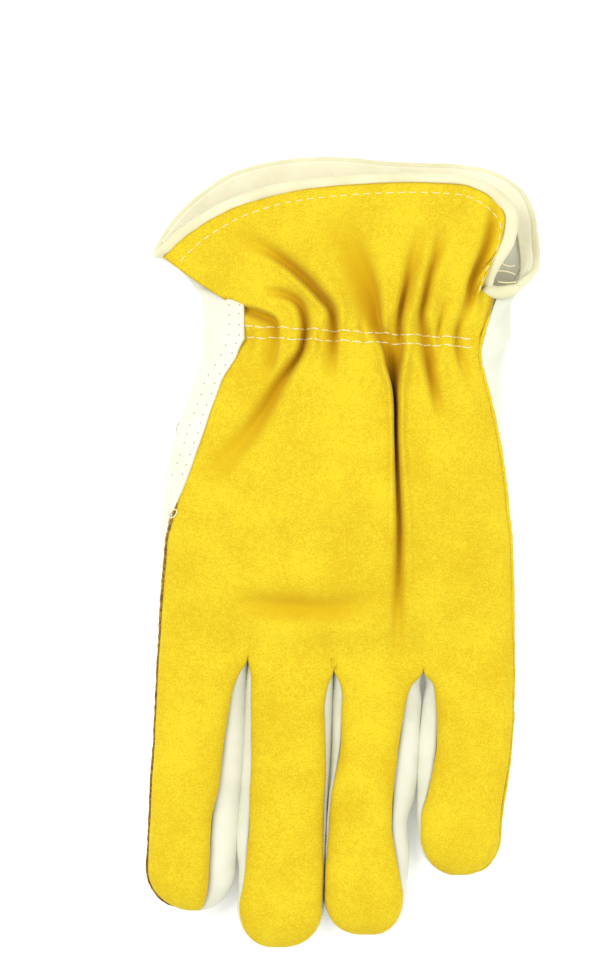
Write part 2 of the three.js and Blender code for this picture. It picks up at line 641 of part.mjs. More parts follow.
function palmPanel() {
  const sheet = new Sheet();
  const columns = steps(palmTotal, 0, palmTotal);
  const rows = steps(palmRows);
  const inHole = (i, j) => {
    const middle = palmOfHand(i + 0.5, (j + 0.5) / palmRows);
    return Math.hypot(middle.x - thumbRoot.x, middle.y - thumbRoot.y) < thumbMouth;
  };
  sheet.patch(palmOfHand, columns, rows, (i, j) => (
    j === palmRows ? `wrist ${i}` : `hand ${i} ${j}`), (i, j) => !inHole(i, j));
  sheet.patch(palmOfCuff, columns, steps(palmCuffRows), (i, j) => (
    j === 0 ? `wrist ${i}` : `cuff ${i} ${j}`));
  fingers.forEach((finger, f) => {
    const surface = (s, r) => fingerPalm(f, -r, s);
    const down = fingerRows.map((r) => -r).reverse();
    sheet.patch(surface, steps(palmColumns[f]), down, (i, j) => (
      j === down.length - 1 ? `hand ${palmStart[f] + i} 0` : `${finger.name} ${i} ${j}`));
  });
  return sheet.wall(grainWall, -1);
}

// One fourchette: down the side of finger k, round the crotch and down the side of finger k + 1.
// u runs from -2 at the tip of finger k through 0 at the crotch to 2 at the next tip, w from the
// suede edge to the palm edge.
const tipSliver = 0.06;         // keeps the strip's two edges apart where it ends in a point
function fourchetteSide(k, u, w) {
  const onLeftFinger = u < 0;
  const f = onLeftFinger ? k : k + 1;
  const r = Math.abs(u);
  const section = fingerAt(f, fingerRow(f, r).at);
  const seam = onLeftFinger ? section.seamRight : section.seamLeft;
  const outline = onLeftFinger ? section.right : section.left;
  const palmEdge = onLeftFinger
    ? Math.max(seam, outline - grainWall) : Math.min(seam, outline + grainWall);
  const bulge = 2 * outline - (seam + palmEdge) / 2;
  const x = (1 - w) * (1 - w) * seam + 2 * w * (1 - w) * bulge + w * w * palmEdge;
  const tuck = 1 - ease(r / crotchReach);
  const top = backSeamHeight - seamGap - suedeWall * tuck;
  const low = palmSeamHeight + seamGap + grainWall * tuck;
  const point = placeOnFinger(f, r, onLeftFinger ? 1 : 0, x, lerp(top, low, w), tipSeamHeight);
  point.z += tipSliver * (1 - 2 * w);
  return point;
}

function fourchette(k) {
  const sheet = new Sheet();
  const down = [...fingerRows].reverse().map((r) => -r);
  const stations = [...down, ...fingerRows.slice(1)];
  sheet.patch((u, w) => fourchetteSide(k, u, w), stations, steps(3), (i, j) => `${i} ${j}`);
  return sheet.wall(grainWall, -1);
}

// The thumb stall, a flat pouch whose mouth opens upward under the hole in the palm. Rows: turns
// in degrees round the root's end, shares of the straight reach, turns round the tip.
const thumbColumns = 12;
const thumbRows = [-80, -58, -32, 0, 0.25, 0.5, 0.75, 1, 32, 58, 80];
const stallRound = { plan: 0.9, side: 0.8, top: 0.55, end: 0.6 };   // below 1 makes each squarer
const squared = (v, power) => Math.sign(v) * Math.pow(Math.abs(v), power);

function thumbSkin(column, row) {
  const whole = Math.min(Math.floor(row), thumbRows.length - 2);
  const at = lerp(thumbRows[whole], thumbRows[whole + 1], row - whole);
  const half = thumbWidth / 2;
  let along = at * thumbReach;
  let spread = 1;
  if (at < 0 || at > 1) {
    const turn = THREE.MathUtils.degToRad(Math.abs(at));
    along = (at > 1 ? thumbReach : 0) + Math.sign(at) * half * Math.sin(turn);
    spread = Math.pow(Math.cos(turn), stallRound.plan);
  }
  const angle = column / thumbColumns * Math.PI * 2;
  const side = squared(Math.cos(angle), stallRound.side) * half * spread;
  const up = squared(Math.sin(angle), stallRound.top) * Math.pow(spread, stallRound.end);
  return new THREE.Vector3(
    thumbRoot.x + thumbAim.x * along - thumbAim.y * side,
    thumbRoot.y + thumbAim.y * along + thumbAim.x * side,
    thumbHeight / 2 * (1 + up),
  );
}

function thumb() {
  const sheet = new Sheet();
  const last = thumbRows.length - 1;
  const name = (i, j) => `${i % thumbColumns} ${j}`;
  const inMouth = (i, j) => {
    const middle = thumbSkin(i + 0.5, j + 0.5);
    const fromRoot = Math.hypot(middle.x - thumbRoot.x, middle.y - thumbRoot.y);
    return middle.z > thumbHeight / 2 && fromRoot < thumbMouth;
  };
  const columns = steps(thumbColumns, 0, thumbColumns);
  sheet.patch(thumbSkin, columns, steps(last, 0, last), name, (i, j) => !inMouth(i, j));
  const ring = (j) => columns.slice(0, -1).map((i) => sheet.names.get(name(i, j)));
  sheet.faces.push(ring(0).reverse());
  sheet.faces.push(ring(last));
  return sheet.wall(grainWall, 1);
}

// The band round the mouth: a six-sided roll just beyond both rims. It leaves the back's rim and
// joins the palm's a little before their ends, and rounds the two corners between them.
const bandSides = 6;
const bandStations = 64;
const backRun = steps(24, 0.03, 0.97);
const palmRun = steps(15, 0.955, 0.05);
const rimStep = 0.006;          // share of a rim used to measure its direction
const flareStep = 0.04;         // share of the cuff's length used to measure its flare

function bandLine() {
  const reach = bandGap + bindingDepth / 2;
  const line = [];
  const follow = (surface, total, shares, outward) => {
    for (const share of shares) {
      const edge = surface(share * total, 1);
      const along = surface((share + rimStep) * total, 1).sub(surface((share - rimStep) * total, 1));
      const flaring = edge.clone().sub(surface(share * total, 1 - flareStep));
      const out = outward(along.normalize(), flaring).normalize();
      line.push({ at: edge.addScaledVector(out, reach), out });
    }
  };
  const level = (along) => new THREE.Vector3(-along.y, along.x, 0);
  const straightOn = (along, flaring) => flaring.projectOnPlane(along);
  follow(backOfCuff, backColumns, backRun, level);
  follow(palmOfCuff, palmTotal, palmRun, straightOn);
  const centre = new THREE.CatmullRomCurve3(line.map((row) => row.at), true);
  const outward = new THREE.CatmullRomCurve3(line.map((row) => row.out), true);
  return { centre, outward };
}

function binding() {
  const { centre, outward } = bandLine();
  const position = [];
  const index = [];
  for (let k = 0; k < bandStations; k += 1) {
    const t = k / bandStations;
    const middle = centre.getPoint(t);
    const tangent = centre.getTangent(t);
    const across = tangent.clone().cross(outward.getPoint(t)).normalize();
    const out = across.clone().cross(tangent).normalize();
    for (let side = 0; side < bandSides; side += 1) {
      const angle = side / bandSides * Math.PI * 2;
      const point = middle.clone()
        .addScaledVector(out, Math.cos(angle) * bindingDepth / 2)
        .addScaledVector(across, Math.sin(angle) * bindingThickness / 2);
      position.push(point.x, point.y, point.z);
      const a = k * bandSides + side;
      const b = k * bandSides + (side + 1) % bandSides;
      const next = ((k + 1) % bandStations - k) * bandSides;
      index.push(a, b, b + next, a, b + next, a + next);
    }
  }
  const geometry = new THREE.BufferGeometry();
  geometry.setAttribute('position', new THREE.Float32BufferAttribute(position, 3));
  geometry.setIndex(index);
  geometry.computeVertexNormals();
  return geometry;
}

const materials = {
  suede: { color: 0xe9b81c, roughness: 0.95, metalness: 0 },
  grain: { color: 0xf1f1de, roughness: 0.6, metalness: 0 },
  band: { color: 0xf7e9bd, roughness: 0.65, metalness: 0 },
};

const glove = new THREE.Group();
function add(name, geometry, look) {
  const mesh = new THREE.Mesh(geometry, new THREE.MeshStandardMaterial(materials[look]));
  mesh.name = name;
  glove.add(mesh);
}

add('back_panel', backPanel(), 'suede');
add('palm_panel', palmPanel(), 'grain');
add('fourchette_index_middle', fourchette(0), 'grain');
add('fourchette_middle_ring', fourchette(1), 'grain');
add('fourchette_ring_little', fourchette(2), 'grain');
add('thumb', thumb(), 'grain');
add('cuff_binding', binding(), 'band');

// The origin lies on the floor under the middle of the outline.
const outline = new THREE.Box3().setFromObject(glove);
const middle = outline.getCenter(new THREE.Vector3());
glove.position.set(-middle.x, -middle.y, 0);

export default glove;
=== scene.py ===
# Left-hand leather work glove lying palm down: suede back, grain leather palm, bound cuff.
import math
import random
import bmesh
import bpy
import numpy as np
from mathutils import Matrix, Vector, noise
from mathutils.bvhtree import BVHTree
from mathutils.kdtree import KDTree


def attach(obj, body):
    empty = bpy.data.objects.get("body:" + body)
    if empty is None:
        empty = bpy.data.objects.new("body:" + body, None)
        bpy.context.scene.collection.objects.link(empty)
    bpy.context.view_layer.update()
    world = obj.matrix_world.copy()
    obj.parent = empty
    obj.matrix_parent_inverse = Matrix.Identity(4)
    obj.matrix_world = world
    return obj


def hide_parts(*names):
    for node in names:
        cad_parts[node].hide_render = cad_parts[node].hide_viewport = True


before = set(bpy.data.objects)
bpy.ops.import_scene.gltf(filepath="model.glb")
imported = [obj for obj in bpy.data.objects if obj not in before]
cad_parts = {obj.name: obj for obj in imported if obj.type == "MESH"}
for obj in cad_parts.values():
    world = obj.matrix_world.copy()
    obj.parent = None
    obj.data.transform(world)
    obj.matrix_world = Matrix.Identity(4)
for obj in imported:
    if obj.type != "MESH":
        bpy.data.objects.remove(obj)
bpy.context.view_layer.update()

mm = 0.001
random.seed(7)

# Pattern sizes in millimetres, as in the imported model. X runs from the index finger to the little
# finger, Y from the fingertips to the cuff, and middle is where the frame's origin lies in them.
glove = {
    "width": 120, "palmLength": 111, "rootLine": -39.3, "cuffLength": 50, "cuffWidth": 126,
    "wristWidth": 104, "gatherWidth": 80, "height": 25, "wristHeight": 23, "mouthHeight": 27,
    "fingerHeight": 16.5, "backSeam": 10.5, "palmSeam": 3.2, "tipSeam": 6.5,
    "suedeWall": 1.3, "grainWall": 1.2, "seamGap": 0.3, "middle": (2.035, 1.344),
}
halfHand = glove["width"] / 2
halfWrist = glove["wristWidth"] / 2
halfMouth = glove["cuffWidth"] / 2
rootLine = glove["rootLine"]
palmLength = glove["palmLength"]
wristLine = rootLine + palmLength


def table(keys, *rows):
    return dict(zip(keys.split(), np.array(rows, float).T))


# Hand: at is the share from the finger roots to the wrist. The other columns are the pull of the
# wrist sizes, the outline in half widths, the palm leather seen beside the suede, the crown.
handSections = table(
    "at wrist left right lapLeft lapRight crown",
    (0.00, 0.00, 1.017, 0.988, 0.04, 0.05, 0.72),
    (0.21, 0.00, 1.005, 0.982, 0.06, 0.05, 0.86),
    (0.39, 0.00, 0.985, 0.972, 0.08, 0.05, 0.95),
    (0.51, 0.00, 0.980, 0.957, 0.22, 0.07, 1.00),
    (0.63, 0.15, 0.964, 0.953, 0.33, 0.08, 1.00),
    (0.75, 0.40, 0.938, 0.962, 0.38, 0.12, 1.00),
    (0.87, 0.75, 0.900, 1.005, 0.38, 0.24, 1.00),
    (0.96, 1.00, 0.872, 1.070, 0.48, 0.38, 1.00),
    (1.00, 1.00, 0.875, 1.105, 0.58, 0.42, 1.00))

crotches = [(-0.505, 0.046), (-0.028, 0.012), (0.467, 0.006)]  # x in half hands, y in palms

# Fingers: outline and suede edge beside the finger's straight axis, in shares of its width.
fingerColumns = "at left right seamLeft seamRight"
fingers = [
    {"name": "index", "length": 84.6, "width": 30.5, "tip": -0.828, "rows": table(
        fingerColumns,
        (0.00, -0.50, 0.50, -0.47, 0.50),
        (0.07, -0.50, 0.51, -0.47, 0.41),
        (0.15, -0.50, 0.51, -0.47, 0.34),
        (0.33, -0.50, 0.51, -0.47, 0.29),
        (0.49, -0.51, 0.49, -0.48, 0.25),
        (0.64, -0.51, 0.475, -0.48, 0.20),
        (0.82, -0.51, 0.46, -0.48, 0.19))},
    {"name": "middle", "length": 95, "width": 28.5, "tip": -0.322, "rows": table(
        fingerColumns,
        (0.00, -0.50, 0.50, -0.50, 0.50),
        (0.06, -0.515, 0.50, -0.46, 0.44),
        (0.13, -0.518, 0.50, -0.45, 0.41),
        (0.27, -0.52, 0.50, -0.435, 0.44),
        (0.41, -0.53, 0.495, -0.415, 0.465),
        (0.55, -0.55, 0.49, -0.42, 0.465),
        (0.64, -0.56, 0.485, -0.435, 0.465),
        (0.76, -0.52, 0.485, -0.46, 0.465),
        (0.84, -0.53, 0.485, -0.505, 0.465))},
    {"name": "ring", "length": 88.6, "width": 27.3, "tip": 0.155, "rows": table(
        fingerColumns,
        (0.00, -0.54, 0.54, -0.54, 0.54),
        (0.05, -0.54, 0.52, -0.465, 0.41),
        (0.11, -0.54, 0.535, -0.425, 0.35),
        (0.26, -0.53, 0.53, -0.43, 0.305),
        (0.41, -0.53, 0.52, -0.495, 0.26),
        (0.48, -0.54, 0.50, -0.535, 0.256),
        (0.58, -0.55, 0.44, -0.545, 0.256),
        (0.71, -0.55, 0.473, -0.545, 0.326),
        (0.84, -0.54, 0.469, -0.535, 0.418))},
    {"name": "little", "length": 68.5, "width": 31, "tip": 0.672, "rows": table(
        fingerColumns,
        (0.00, -0.50, 0.50, -0.50, 0.47),
        (0.07, -0.47, 0.505, -0.385, 0.47),
        (0.23, -0.49, 0.515, -0.326, 0.48),
        (0.35, -0.50, 0.51, -0.326, 0.475),
        (0.47, -0.50, 0.495, -0.345, 0.46),
        (0.59, -0.495, 0.47, -0.395, 0.435),
        (0.70, -0.49, 0.445, -0.455, 0.41),
        (0.78, -0.47, 0.435, -0.45, 0.40))},
]

# Rims, from the thumb side round to the seam at the little finger side: x in half mouths, y above
# the wrist in cuff lengths, z in mouth heights, hang how long the edge falls straight.
backRim = table(
    "at x y z hang",
    (0.00, -0.930, 0.550, 0.40, 0.33),
    (0.08, -0.845, 0.650, 0.50, 0.28),
    (0.17, -0.712, 0.765, 0.66, 0.20),
    (0.28, -0.525, 0.880, 0.80, 0.10),
    (0.41, -0.260, 0.970, 0.91, 0.02),
    (0.54, 0.060, 1.010, 0.98, 0.00),
    (0.66, 0.376, 1.025, 1.00, 0.00),
    (0.77, 0.640, 1.010, 0.98, 0.00),
    (0.84, 0.798, 0.925, 0.93, 0.03),
    (0.89, 0.868, 0.795, 0.86, 0.10),
    (0.93, 0.848, 0.635, 0.79, 0.18),
    (0.965, 0.766, 0.475, 0.72, 0.25),
    (0.985, 0.738, 0.360, 0.66, 0.20),
    (1.00, 0.815, 0.270, 0.55, 0.00))
palmRim = table(
    "at x y z hang",
    (0.00, -0.930, 0.556, 0.30, 0.50),
    (0.05, -0.935, 0.590, 0.20, 0.48),
    (0.12, -0.890, 0.690, 0.10, 0.38),
    (0.20, -0.762, 0.880, 0.06, 0.22),
    (0.30, -0.524, 1.080, 0.06, 0.10),
    (0.40, -0.286, 1.150, 0.06, 0.00),
    (0.50, -0.040, 1.170, 0.06, 0.00),
    (0.60, 0.300, 1.135, 0.06, 0.00),
    (0.70, 0.620, 1.120, 0.06, 0.00),
    (0.77, 0.840, 1.060, 0.06, 0.00),
    (0.83, 0.965, 0.930, 0.06, 0.30),
    (0.88, 1.010, 0.740, 0.08, 0.45),
    (0.93, 1.015, 0.520, 0.15, 0.55),
    (0.97, 0.960, 0.350, 0.34, 0.30),
    (1.00, 0.830, 0.268, 0.51, 0.00))


def lerp(a, b, t):
    return a + (b - a) * t


def ease(t):
    u = np.clip(t, 0, 1)
    return u * u * (3 - 2 * u)


# The smooth curve between rows i and i + 1, t of the way along their span.
def curveBetween(rows, tangents, i, t, span):
    t2 = t * t
    t3 = t2 * t
    return (rows[i] * (2 * t3 - 3 * t2 + 1) + rows[i + 1] * (3 * t2 - 2 * t3)
            + span * (tangents[i] * (t3 - 2 * t2 + t) + tangents[i + 1] * (t3 - t2)))


# Reads one column of a table by a smooth curve that never overshoots its rows.
def read(rows, key, at):
    x, y = rows["at"], rows[key]
    slope = np.diff(y) / np.diff(x)
    before, after = slope[:-1], slope[1:]
    sameWay = before * after > 0
    inner = np.where(sameWay, 2 * before * after / np.where(sameWay, before + after, 1), 0)
    tangent = np.concatenate(([slope[0]], inner, [slope[-1]]))
    at = np.clip(at, x[0], x[-1])
    i = np.clip(np.searchsorted(x, at, side="right") - 1, 0, len(x) - 2)
    span = x[i + 1] - x[i]
    return curveBetween(y, tangent, i, (at - x[i]) / span, span)


section = {"crownPower": 2.6, "sideShare": 0.34, "foot": 12, "footInset": 4.2}


def crown(q):
    return (1 - np.abs(2 * np.clip(q, 0, 1) - 1) ** section["crownPower"]) ** (1 / section["crownPower"])


def handAt(y):
    at = (y - rootLine) / palmLength
    wrist = read(handSections, "wrist", at)
    half = lerp(halfHand, halfWrist, wrist)
    slack = glove["wristWidth"] - glove["gatherWidth"]
    left = -half * read(handSections, "left", at)
    right = half * read(handSections, "right", at)
    top = lerp(glove["height"], glove["wristHeight"], wrist) * read(handSections, "crown", at)
    return {
        "left": left, "right": right, "top": top, "side": top * section["sideShare"],
        "seamLeft": left + slack * read(handSections, "lapLeft", at),
        "seamRight": right - slack * read(handSections, "lapRight", at),
    }


def topOfHand(s, x):
    return s["side"] + (s["top"] - s["side"]) * crown((x - s["left"]) / (s["right"] - s["left"]))


def points(x, y, z):
    return np.stack(np.broadcast_arrays(x, y, z), axis=-1).astype(float)


# Fingers. point blunts a tip's outline below 1, lean turns it toward the little finger side.
tip = {"share": 0.47, "turn": math.radians(86), "round": 0.75, "crotchReach": 0.07,
       "point": (0.96, 0.83, 0.82, 0.93), "lean": (2.6, -1.4, 0.2, 0.0)}
fingerCurve = 0.8       # below 1 squares a finger's section
webRise = {"height": 3.2, "reach": 0.22, "crest": 1.2}    # the suede stands higher at the crotches


# 1 at the sides that face another finger, 0 at the glove's two outer sides.
def innerSide(f, s):
    return s if f == 0 else 1 - s if f == 3 else np.ones_like(s)


def seamHeight(at, inner):
    return glove["backSeam"] + webRise["height"] * inner * (1 - ease(at / webRise["reach"]))


def fingerRoot(f):
    s = handAt(rootLine)
    leftX = s["left"] if f == 0 else crotches[f - 1][0] * halfHand
    rightX = s["right"] if f == 3 else crotches[f][0] * halfHand
    leftY = rootLine + palmLength * crotches[max(f - 1, 0)][1]
    rightY = rootLine + palmLength * crotches[min(f, 2)][1]
    return leftX, leftY, rightX, rightY


def fingerAt(f, at):
    finger = fingers[f]
    leftX, _, rightX, _ = fingerRoot(f)
    edge = handAt(rootLine)
    axis = lerp((leftX + rightX) / 2, finger["tip"] * halfHand, at)
    settle = 1 - (1 - np.clip(at / tip["crotchReach"], 0, 1)) ** 2
    starts = {
        "left": leftX, "right": rightX,
        "seamLeft": edge["seamLeft"] if f == 0 else leftX,
        "seamRight": edge["seamRight"] if f == 3 else rightX,
    }
    return {key: lerp(start, axis + finger["width"] * read(finger["rows"], key, at), settle)
            for key, start in starts.items()}


# Row r of a finger: 0 at its root, 1 where the round tip starts, 2 at the tip.
def fingerRow(f, r):
    finger = fingers[f]
    bodyEnd = 1 - tip["share"] * finger["width"] / finger["length"]
    turn = np.clip(r - 1, 0, 1) * tip["turn"]
    round = np.cos(turn)
    return {
        "at": bodyEnd * np.clip(r, 0, 1),
        "along": bodyEnd * np.clip(r, 0, 1) + (1 - bodyEnd) * np.sin(turn) / math.sin(tip["turn"]),
        "spread": round ** tip["point"][f],
        "rise": np.where(r >= 2, 0, round ** tip["round"]),
    }


def placeOnFinger(f, row, sideways, x, z, tipZ):
    _, leftY, _, rightY = fingerRoot(f)
    tipX = fingers[f]["tip"] * halfHand
    tipY = (leftY + rightY) / 2 - fingers[f]["length"]
    return points(tipX + (x - tipX) * row["spread"] + tip["lean"][f] * (1 - row["spread"]),
                  lerp(lerp(leftY, rightY, sideways), tipY, row["along"]),
                  tipZ + (z - tipZ) * row["rise"])


def signedPower(v, power):
    return np.sign(v) * np.abs(v) ** power


def fingerBack(f, r, s):
    row = fingerRow(f, r)
    sides = fingerAt(f, row["at"])
    turn = math.pi * (1 - s)
    centre = (sides["seamLeft"] + sides["seamRight"]) / 2
    half = (sides["seamRight"] - sides["seamLeft"]) / 2
    x = centre + half * signedPower(np.cos(turn), fingerCurve)
    seam = seamHeight(row["at"], innerSide(f, s))
    z = lerp(seam, glove["fingerHeight"], np.abs(np.sin(turn)) ** fingerCurve)
    return placeOnFinger(f, row, s, x, z, glove["tipSeam"] + glove["seamGap"])


outerLap = 0.16


def fingerPalm(f, r, s):
    row = fingerRow(f, r)
    sides = fingerAt(f, row["at"])
    wall = glove["grainWall"]
    left = sides["left"] if f == 0 else np.minimum(sides["seamLeft"], sides["left"] + wall)
    right = sides["right"] if f == 3 else np.maximum(sides["seamRight"], sides["right"] - wall)
    turn = math.pi * (1 - s)
    x = (left + right) / 2 + (right - left) / 2 * signedPower(np.cos(turn), fingerCurve)
    outer = (s < 0.5) if f == 0 else (s > 0.5) if f == 3 else np.zeros_like(s, bool)
    high = np.where(outer, glove["backSeam"] - glove["seamGap"], glove["palmSeam"])
    z = high * (1 - np.abs(np.sin(turn)) ** fingerCurve)
    if f == 0:
        x = np.where(s < outerLap, lerp(sides["seamLeft"], x, np.sqrt(np.clip(s / outerLap, 0, 1))), x)
    if f == 3:
        over = np.sqrt(np.clip((1 - s) / outerLap, 0, 1))
        x = np.where(1 - s < outerLap, lerp(sides["seamRight"], x, over), x)
    return placeOnFinger(f, row, s, x, z, glove["tipSeam"] - glove["seamGap"])


# How the cuff turns out at the wrist; fill makes the thumb side's edge belly out sooner.
flareForm = {"soft": 0.004, "firm": 0.0006, "fill": 0.8, "fillFrom": 0.02, "fillReach": 0.1,
             "fillLeast": 0.03, "thumbShare": 0.25, "thumbHang": 0.05}


# A line from the wrist to the rim that keeps its width for a while and then flares. edge is 1 for
# the thumb side's edge, which turns out firmly and fills sooner.
def flare(start, end, t, hang, edge):
    soft = lerp(flareForm["soft"], flareForm["firm"], edge)

    def bend(u):
        return (u - hang + np.sqrt((u - hang) ** 2 + soft)) / 2
    side = (bend(t) - bend(0 * t)) / (bend(1 + 0 * t) - bend(0 * t))
    full = np.where(side < flareForm["fillLeast"], side, np.clip(side, 0, None) ** flareForm["fill"])
    side = lerp(side, full, edge * ease((side - flareForm["fillFrom"]) / flareForm["fillReach"]))
    return points(lerp(start[:, 0], end[:, 0], side), lerp(start[:, 1], end[:, 1], t),
                  lerp(start[:, 2], end[:, 2], t))


def thumbEdge(share):
    return 1 - ease(share / flareForm["thumbShare"])


def hangAt(rim, share):
    return read(rim, "hang", share) + flareForm["thumbHang"] * thumbEdge(share)


def rimPoint(rows, at):
    return points(halfMouth * read(rows, "x", at), wristLine + glove["cuffLength"] * read(rows, "y", at),
                  glove["mouthHeight"] * read(rows, "z", at))


# How far from the finger roots their shapes reach into the hand
reach = {"backKnuckle": 22, "backRoot": 1.5, "crotchCrease": 0.6, "palmKnuckle": 18,
         "backSpread": 0.6 * palmLength, "palmSpread": 0.5 * palmLength}

# On the thumb side the palm leather is lapped over the suede, whose edge comes out at tuckedTo.
lapping = {"from": 18.3, "to": 89.5, "tuckedTo": 84.5, "soft": 2.5, "under": 1.6, "tuckShare": 0.12,
           "over": 0.15, "overBelow": 0.4, "rise": 1.3, "drop": 2.8, "gap": 0.1}


def lapEnd(y, end):
    return ease((y - lapping[end]) / lapping["soft"] + 1)


def lapAt(y, end="to"):
    return ease((y - lapping["from"]) / lapping["soft"]) * (1 - lapEnd(y, end))


def tuckAt(share):
    return 1 - ease(share / lapping["tuckShare"])


# Back of the hand: c counts fingers from 0 to 4, v runs from 0 at their roots to 1 at the wrist.
def backOfHand(c, v):
    c = np.asarray(c, float)
    whole = np.clip(np.floor(c), 0, 3).astype(int)
    root = np.zeros((len(c), 3))
    for f in range(4):
        here = whole == f
        root[here] = fingerBack(f, np.zeros(here.sum()), c[here] - f)
    y = lerp(root[:, 1], wristLine, v)
    s = handAt(y)
    low = handAt(rootLine)
    rootShare = (root[:, 0] - low["seamLeft"]) / (low["seamRight"] - low["seamLeft"])
    share = lerp(c / 4, rootShare, 1 - ease((y - rootLine) / reach["backSpread"]))
    x = lerp(s["seamLeft"], s["seamRight"], share)
    flatZ = topOfHand(s, x)
    up = y - root[:, 1]
    near = 1 - ease(up / reach["backKnuckle"])
    rounded = lerp(crestOfRoot(c), root[:, 2], np.exp(-up / reach["crotchCrease"]))
    x = lerp(x, root[:, 0], np.exp(-up / reach["backRoot"]))
    return tuckUnder(points(x, y, lerp(flatZ, rounded, near)), share)


# The finger roots' height without the creases between them.
def crestOfRoot(c):
    inside = (c > 0.5) & (c < 3.5)
    wave = np.where(inside, 0.5 + 0.5 * np.cos(2 * math.pi * (c - 0.5)), 1)
    fall = np.abs(np.sin(np.clip(np.minimum(c, 4 - c), 0, 0.5) * math.pi)) ** fingerCurve
    web = glove["backSeam"] + webRise["height"] + webRise["crest"]
    crest = lerp(web, glove["fingerHeight"], wave)
    return np.where(inside, crest, lerp(glove["backSeam"], glove["fingerHeight"], fall))


# The suede's edge on the thumb side goes on under the lapped leather.
def tuckUnder(place, share):
    place[:, 0] -= lapping["under"] * lapAt(place[:, 1], "tuckedTo") * tuckAt(share)
    return place


def backOfCuff(c, v):
    share = c / 4
    wrist = backOfHand(c, np.ones(len(c)))
    wrist[:, 0] += lapping["under"] * tuckAt(share)
    place = flare(wrist, rimPoint(backRim, share), v, hangAt(backRim, share), thumbEdge(share))
    return tuckUnder(place, share)


# Palm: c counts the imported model's 24 columns, the three at each end going round the side.
palmStart = [0, 7, 12, 17, 24]
wrapColumns = 3
topOfWrap = 2 / 3
thumbShape = {"root": (-0.62 * halfHand, wristLine - 0.34 * palmLength), "aim": (0.36, -0.933),
              "width": 34, "length": 74, "height": 8, "plan": 0.9, "side": 0.8, "top": 0.55, "end": 0.6,
              "turn": math.radians(84), "columns": 48, "rows": 23, "tipRows": 9,
              "mouth": 0.3, "clearFrom": 0.54, "clearReach": 0.42}      # shares of the width
thumbReach = thumbShape["length"] - thumbShape["width"]


def thumbDistance(x, y):
    dx, dy = x - thumbShape["root"][0], y - thumbShape["root"][1]
    aimX, aimY = thumbShape["aim"]
    along = np.clip(dx * aimX + dy * aimY, 0, thumbReach)
    return np.hypot(dx - along * aimX, dy - along * aimY)


def underHand(s, x, y):
    u = np.clip(1 - np.minimum(x - s["left"], s["right"] - x) / section["foot"], 0, 1)
    foot = s["side"] * (1 - np.sqrt(1 - u * u))
    off = thumbDistance(x, y) / thumbShape["width"] - thumbShape["clearFrom"]
    over = 1 - ease(off / thumbShape["clearReach"])
    return lerp(foot, np.maximum(foot, thumbShape["height"] + glove["seamGap"]), over)


# Lifts the palm leather's thumb side edge over the suede.
def lapOver(place, c):
    turn = np.clip(c / wrapColumns / topOfWrap, 0, 1)
    near = lapAt(place[:, 1])
    below = lapEnd(place[:, 1], "to")
    place[:, 0] += (lapping["over"] * near + lapping["overBelow"] * below) * (1 - turn)
    place[:, 2] += (lapping["rise"] * near - lapping["drop"] * below) * (1 - turn ** 2)
    return place


def palmOfHand(c, v):
    return lapOver(palmInHand(c, v), c)


def palmInHand(c, v):
    c = np.asarray(c, float)
    root = np.zeros((len(c), 3))
    for f in range(4):
        here = (c >= palmStart[f]) & ((c < palmStart[f + 1]) | (f == 3))
        span = palmStart[f + 1] - palmStart[f]
        root[here] = fingerPalm(f, np.zeros(here.sum()), (c[here] - palmStart[f]) / span)
    y = lerp(root[:, 1], wristLine, v)
    s = handAt(y)
    low = handAt(rootLine)
    left, right = s["left"], s["right"]
    fromLeft = c / wrapColumns
    fromRight = (palmStart[4] - c) / wrapColumns
    onLeft = fromLeft < 1
    turn = np.clip(np.where(onLeft, fromLeft, fromRight), 0, 1)
    seam = np.where(onLeft, s["seamLeft"] - lapping["gap"], s["seamRight"] + lapping["gap"])
    edge = np.where(onLeft, left, right)
    foot = np.where(onLeft, left + section["footInset"], right - section["footInset"])
    topX = lerp(seam, edge, np.sin(np.clip(turn / topOfWrap, 0, 1) * math.pi / 2))
    under = np.clip((turn - topOfWrap) / (1 - topOfWrap), 0, 1)
    lowX = lerp(edge, foot, 1 - np.cos(under * math.pi / 2))
    onTop = turn < topOfWrap
    wrapX = np.where(onTop, topX, lowX)
    wrapZ = np.where(onTop, topOfHand(s, wrapX), underHand(s, wrapX, y))
    span = (c - wrapColumns) / (palmStart[4] - 2 * wrapColumns)
    rootShare = (root[:, 0] - low["left"]) / (low["right"] - low["left"])
    spread = 1 - ease((y - rootLine) / reach["palmSpread"])
    flatX = lerp(left + section["footInset"], right - section["footInset"], lerp(span, rootShare, spread))
    wrapped = (fromLeft < 1) | (fromRight < 1)
    x = np.where(wrapped, wrapX, flatX)
    z = np.where(wrapped, wrapZ, underHand(s, flatX, y))
    near = 1 - ease((y - root[:, 1]) / reach["palmKnuckle"])
    return points(lerp(x, root[:, 0], near * near), y, lerp(z, root[:, 2], near))


def palmOfCuff(c, v):
    share = c / palmStart[4]
    wrist = palmInHand(c, np.ones(len(c)))
    return lapOver(flare(wrist, rimPoint(palmRim, share), v, hangAt(palmRim, share), thumbEdge(share)), c)


# Mesh helpers
def patch(bm, surface, columns, rows):
    made = bmesh.ops.create_grid(bm, x_segments=len(columns) - 1, y_segments=len(rows) - 1, size=1)["verts"]
    flat = np.array([vert.co.xy for vert in made])
    i = np.rint((flat[:, 0] + 1) / 2 * (len(columns) - 1)).astype(int)
    j = np.rint((flat[:, 1] + 1) / 2 * (len(rows) - 1)).astype(int)
    for vert, place in zip(made, surface(np.asarray(columns)[i], np.asarray(rows)[j])):
        vert.co = place
    return made


def weld(bm, distance=0.02):
    bmesh.ops.remove_doubles(bm, verts=bm.verts, dist=distance)
    bm.normal_update()


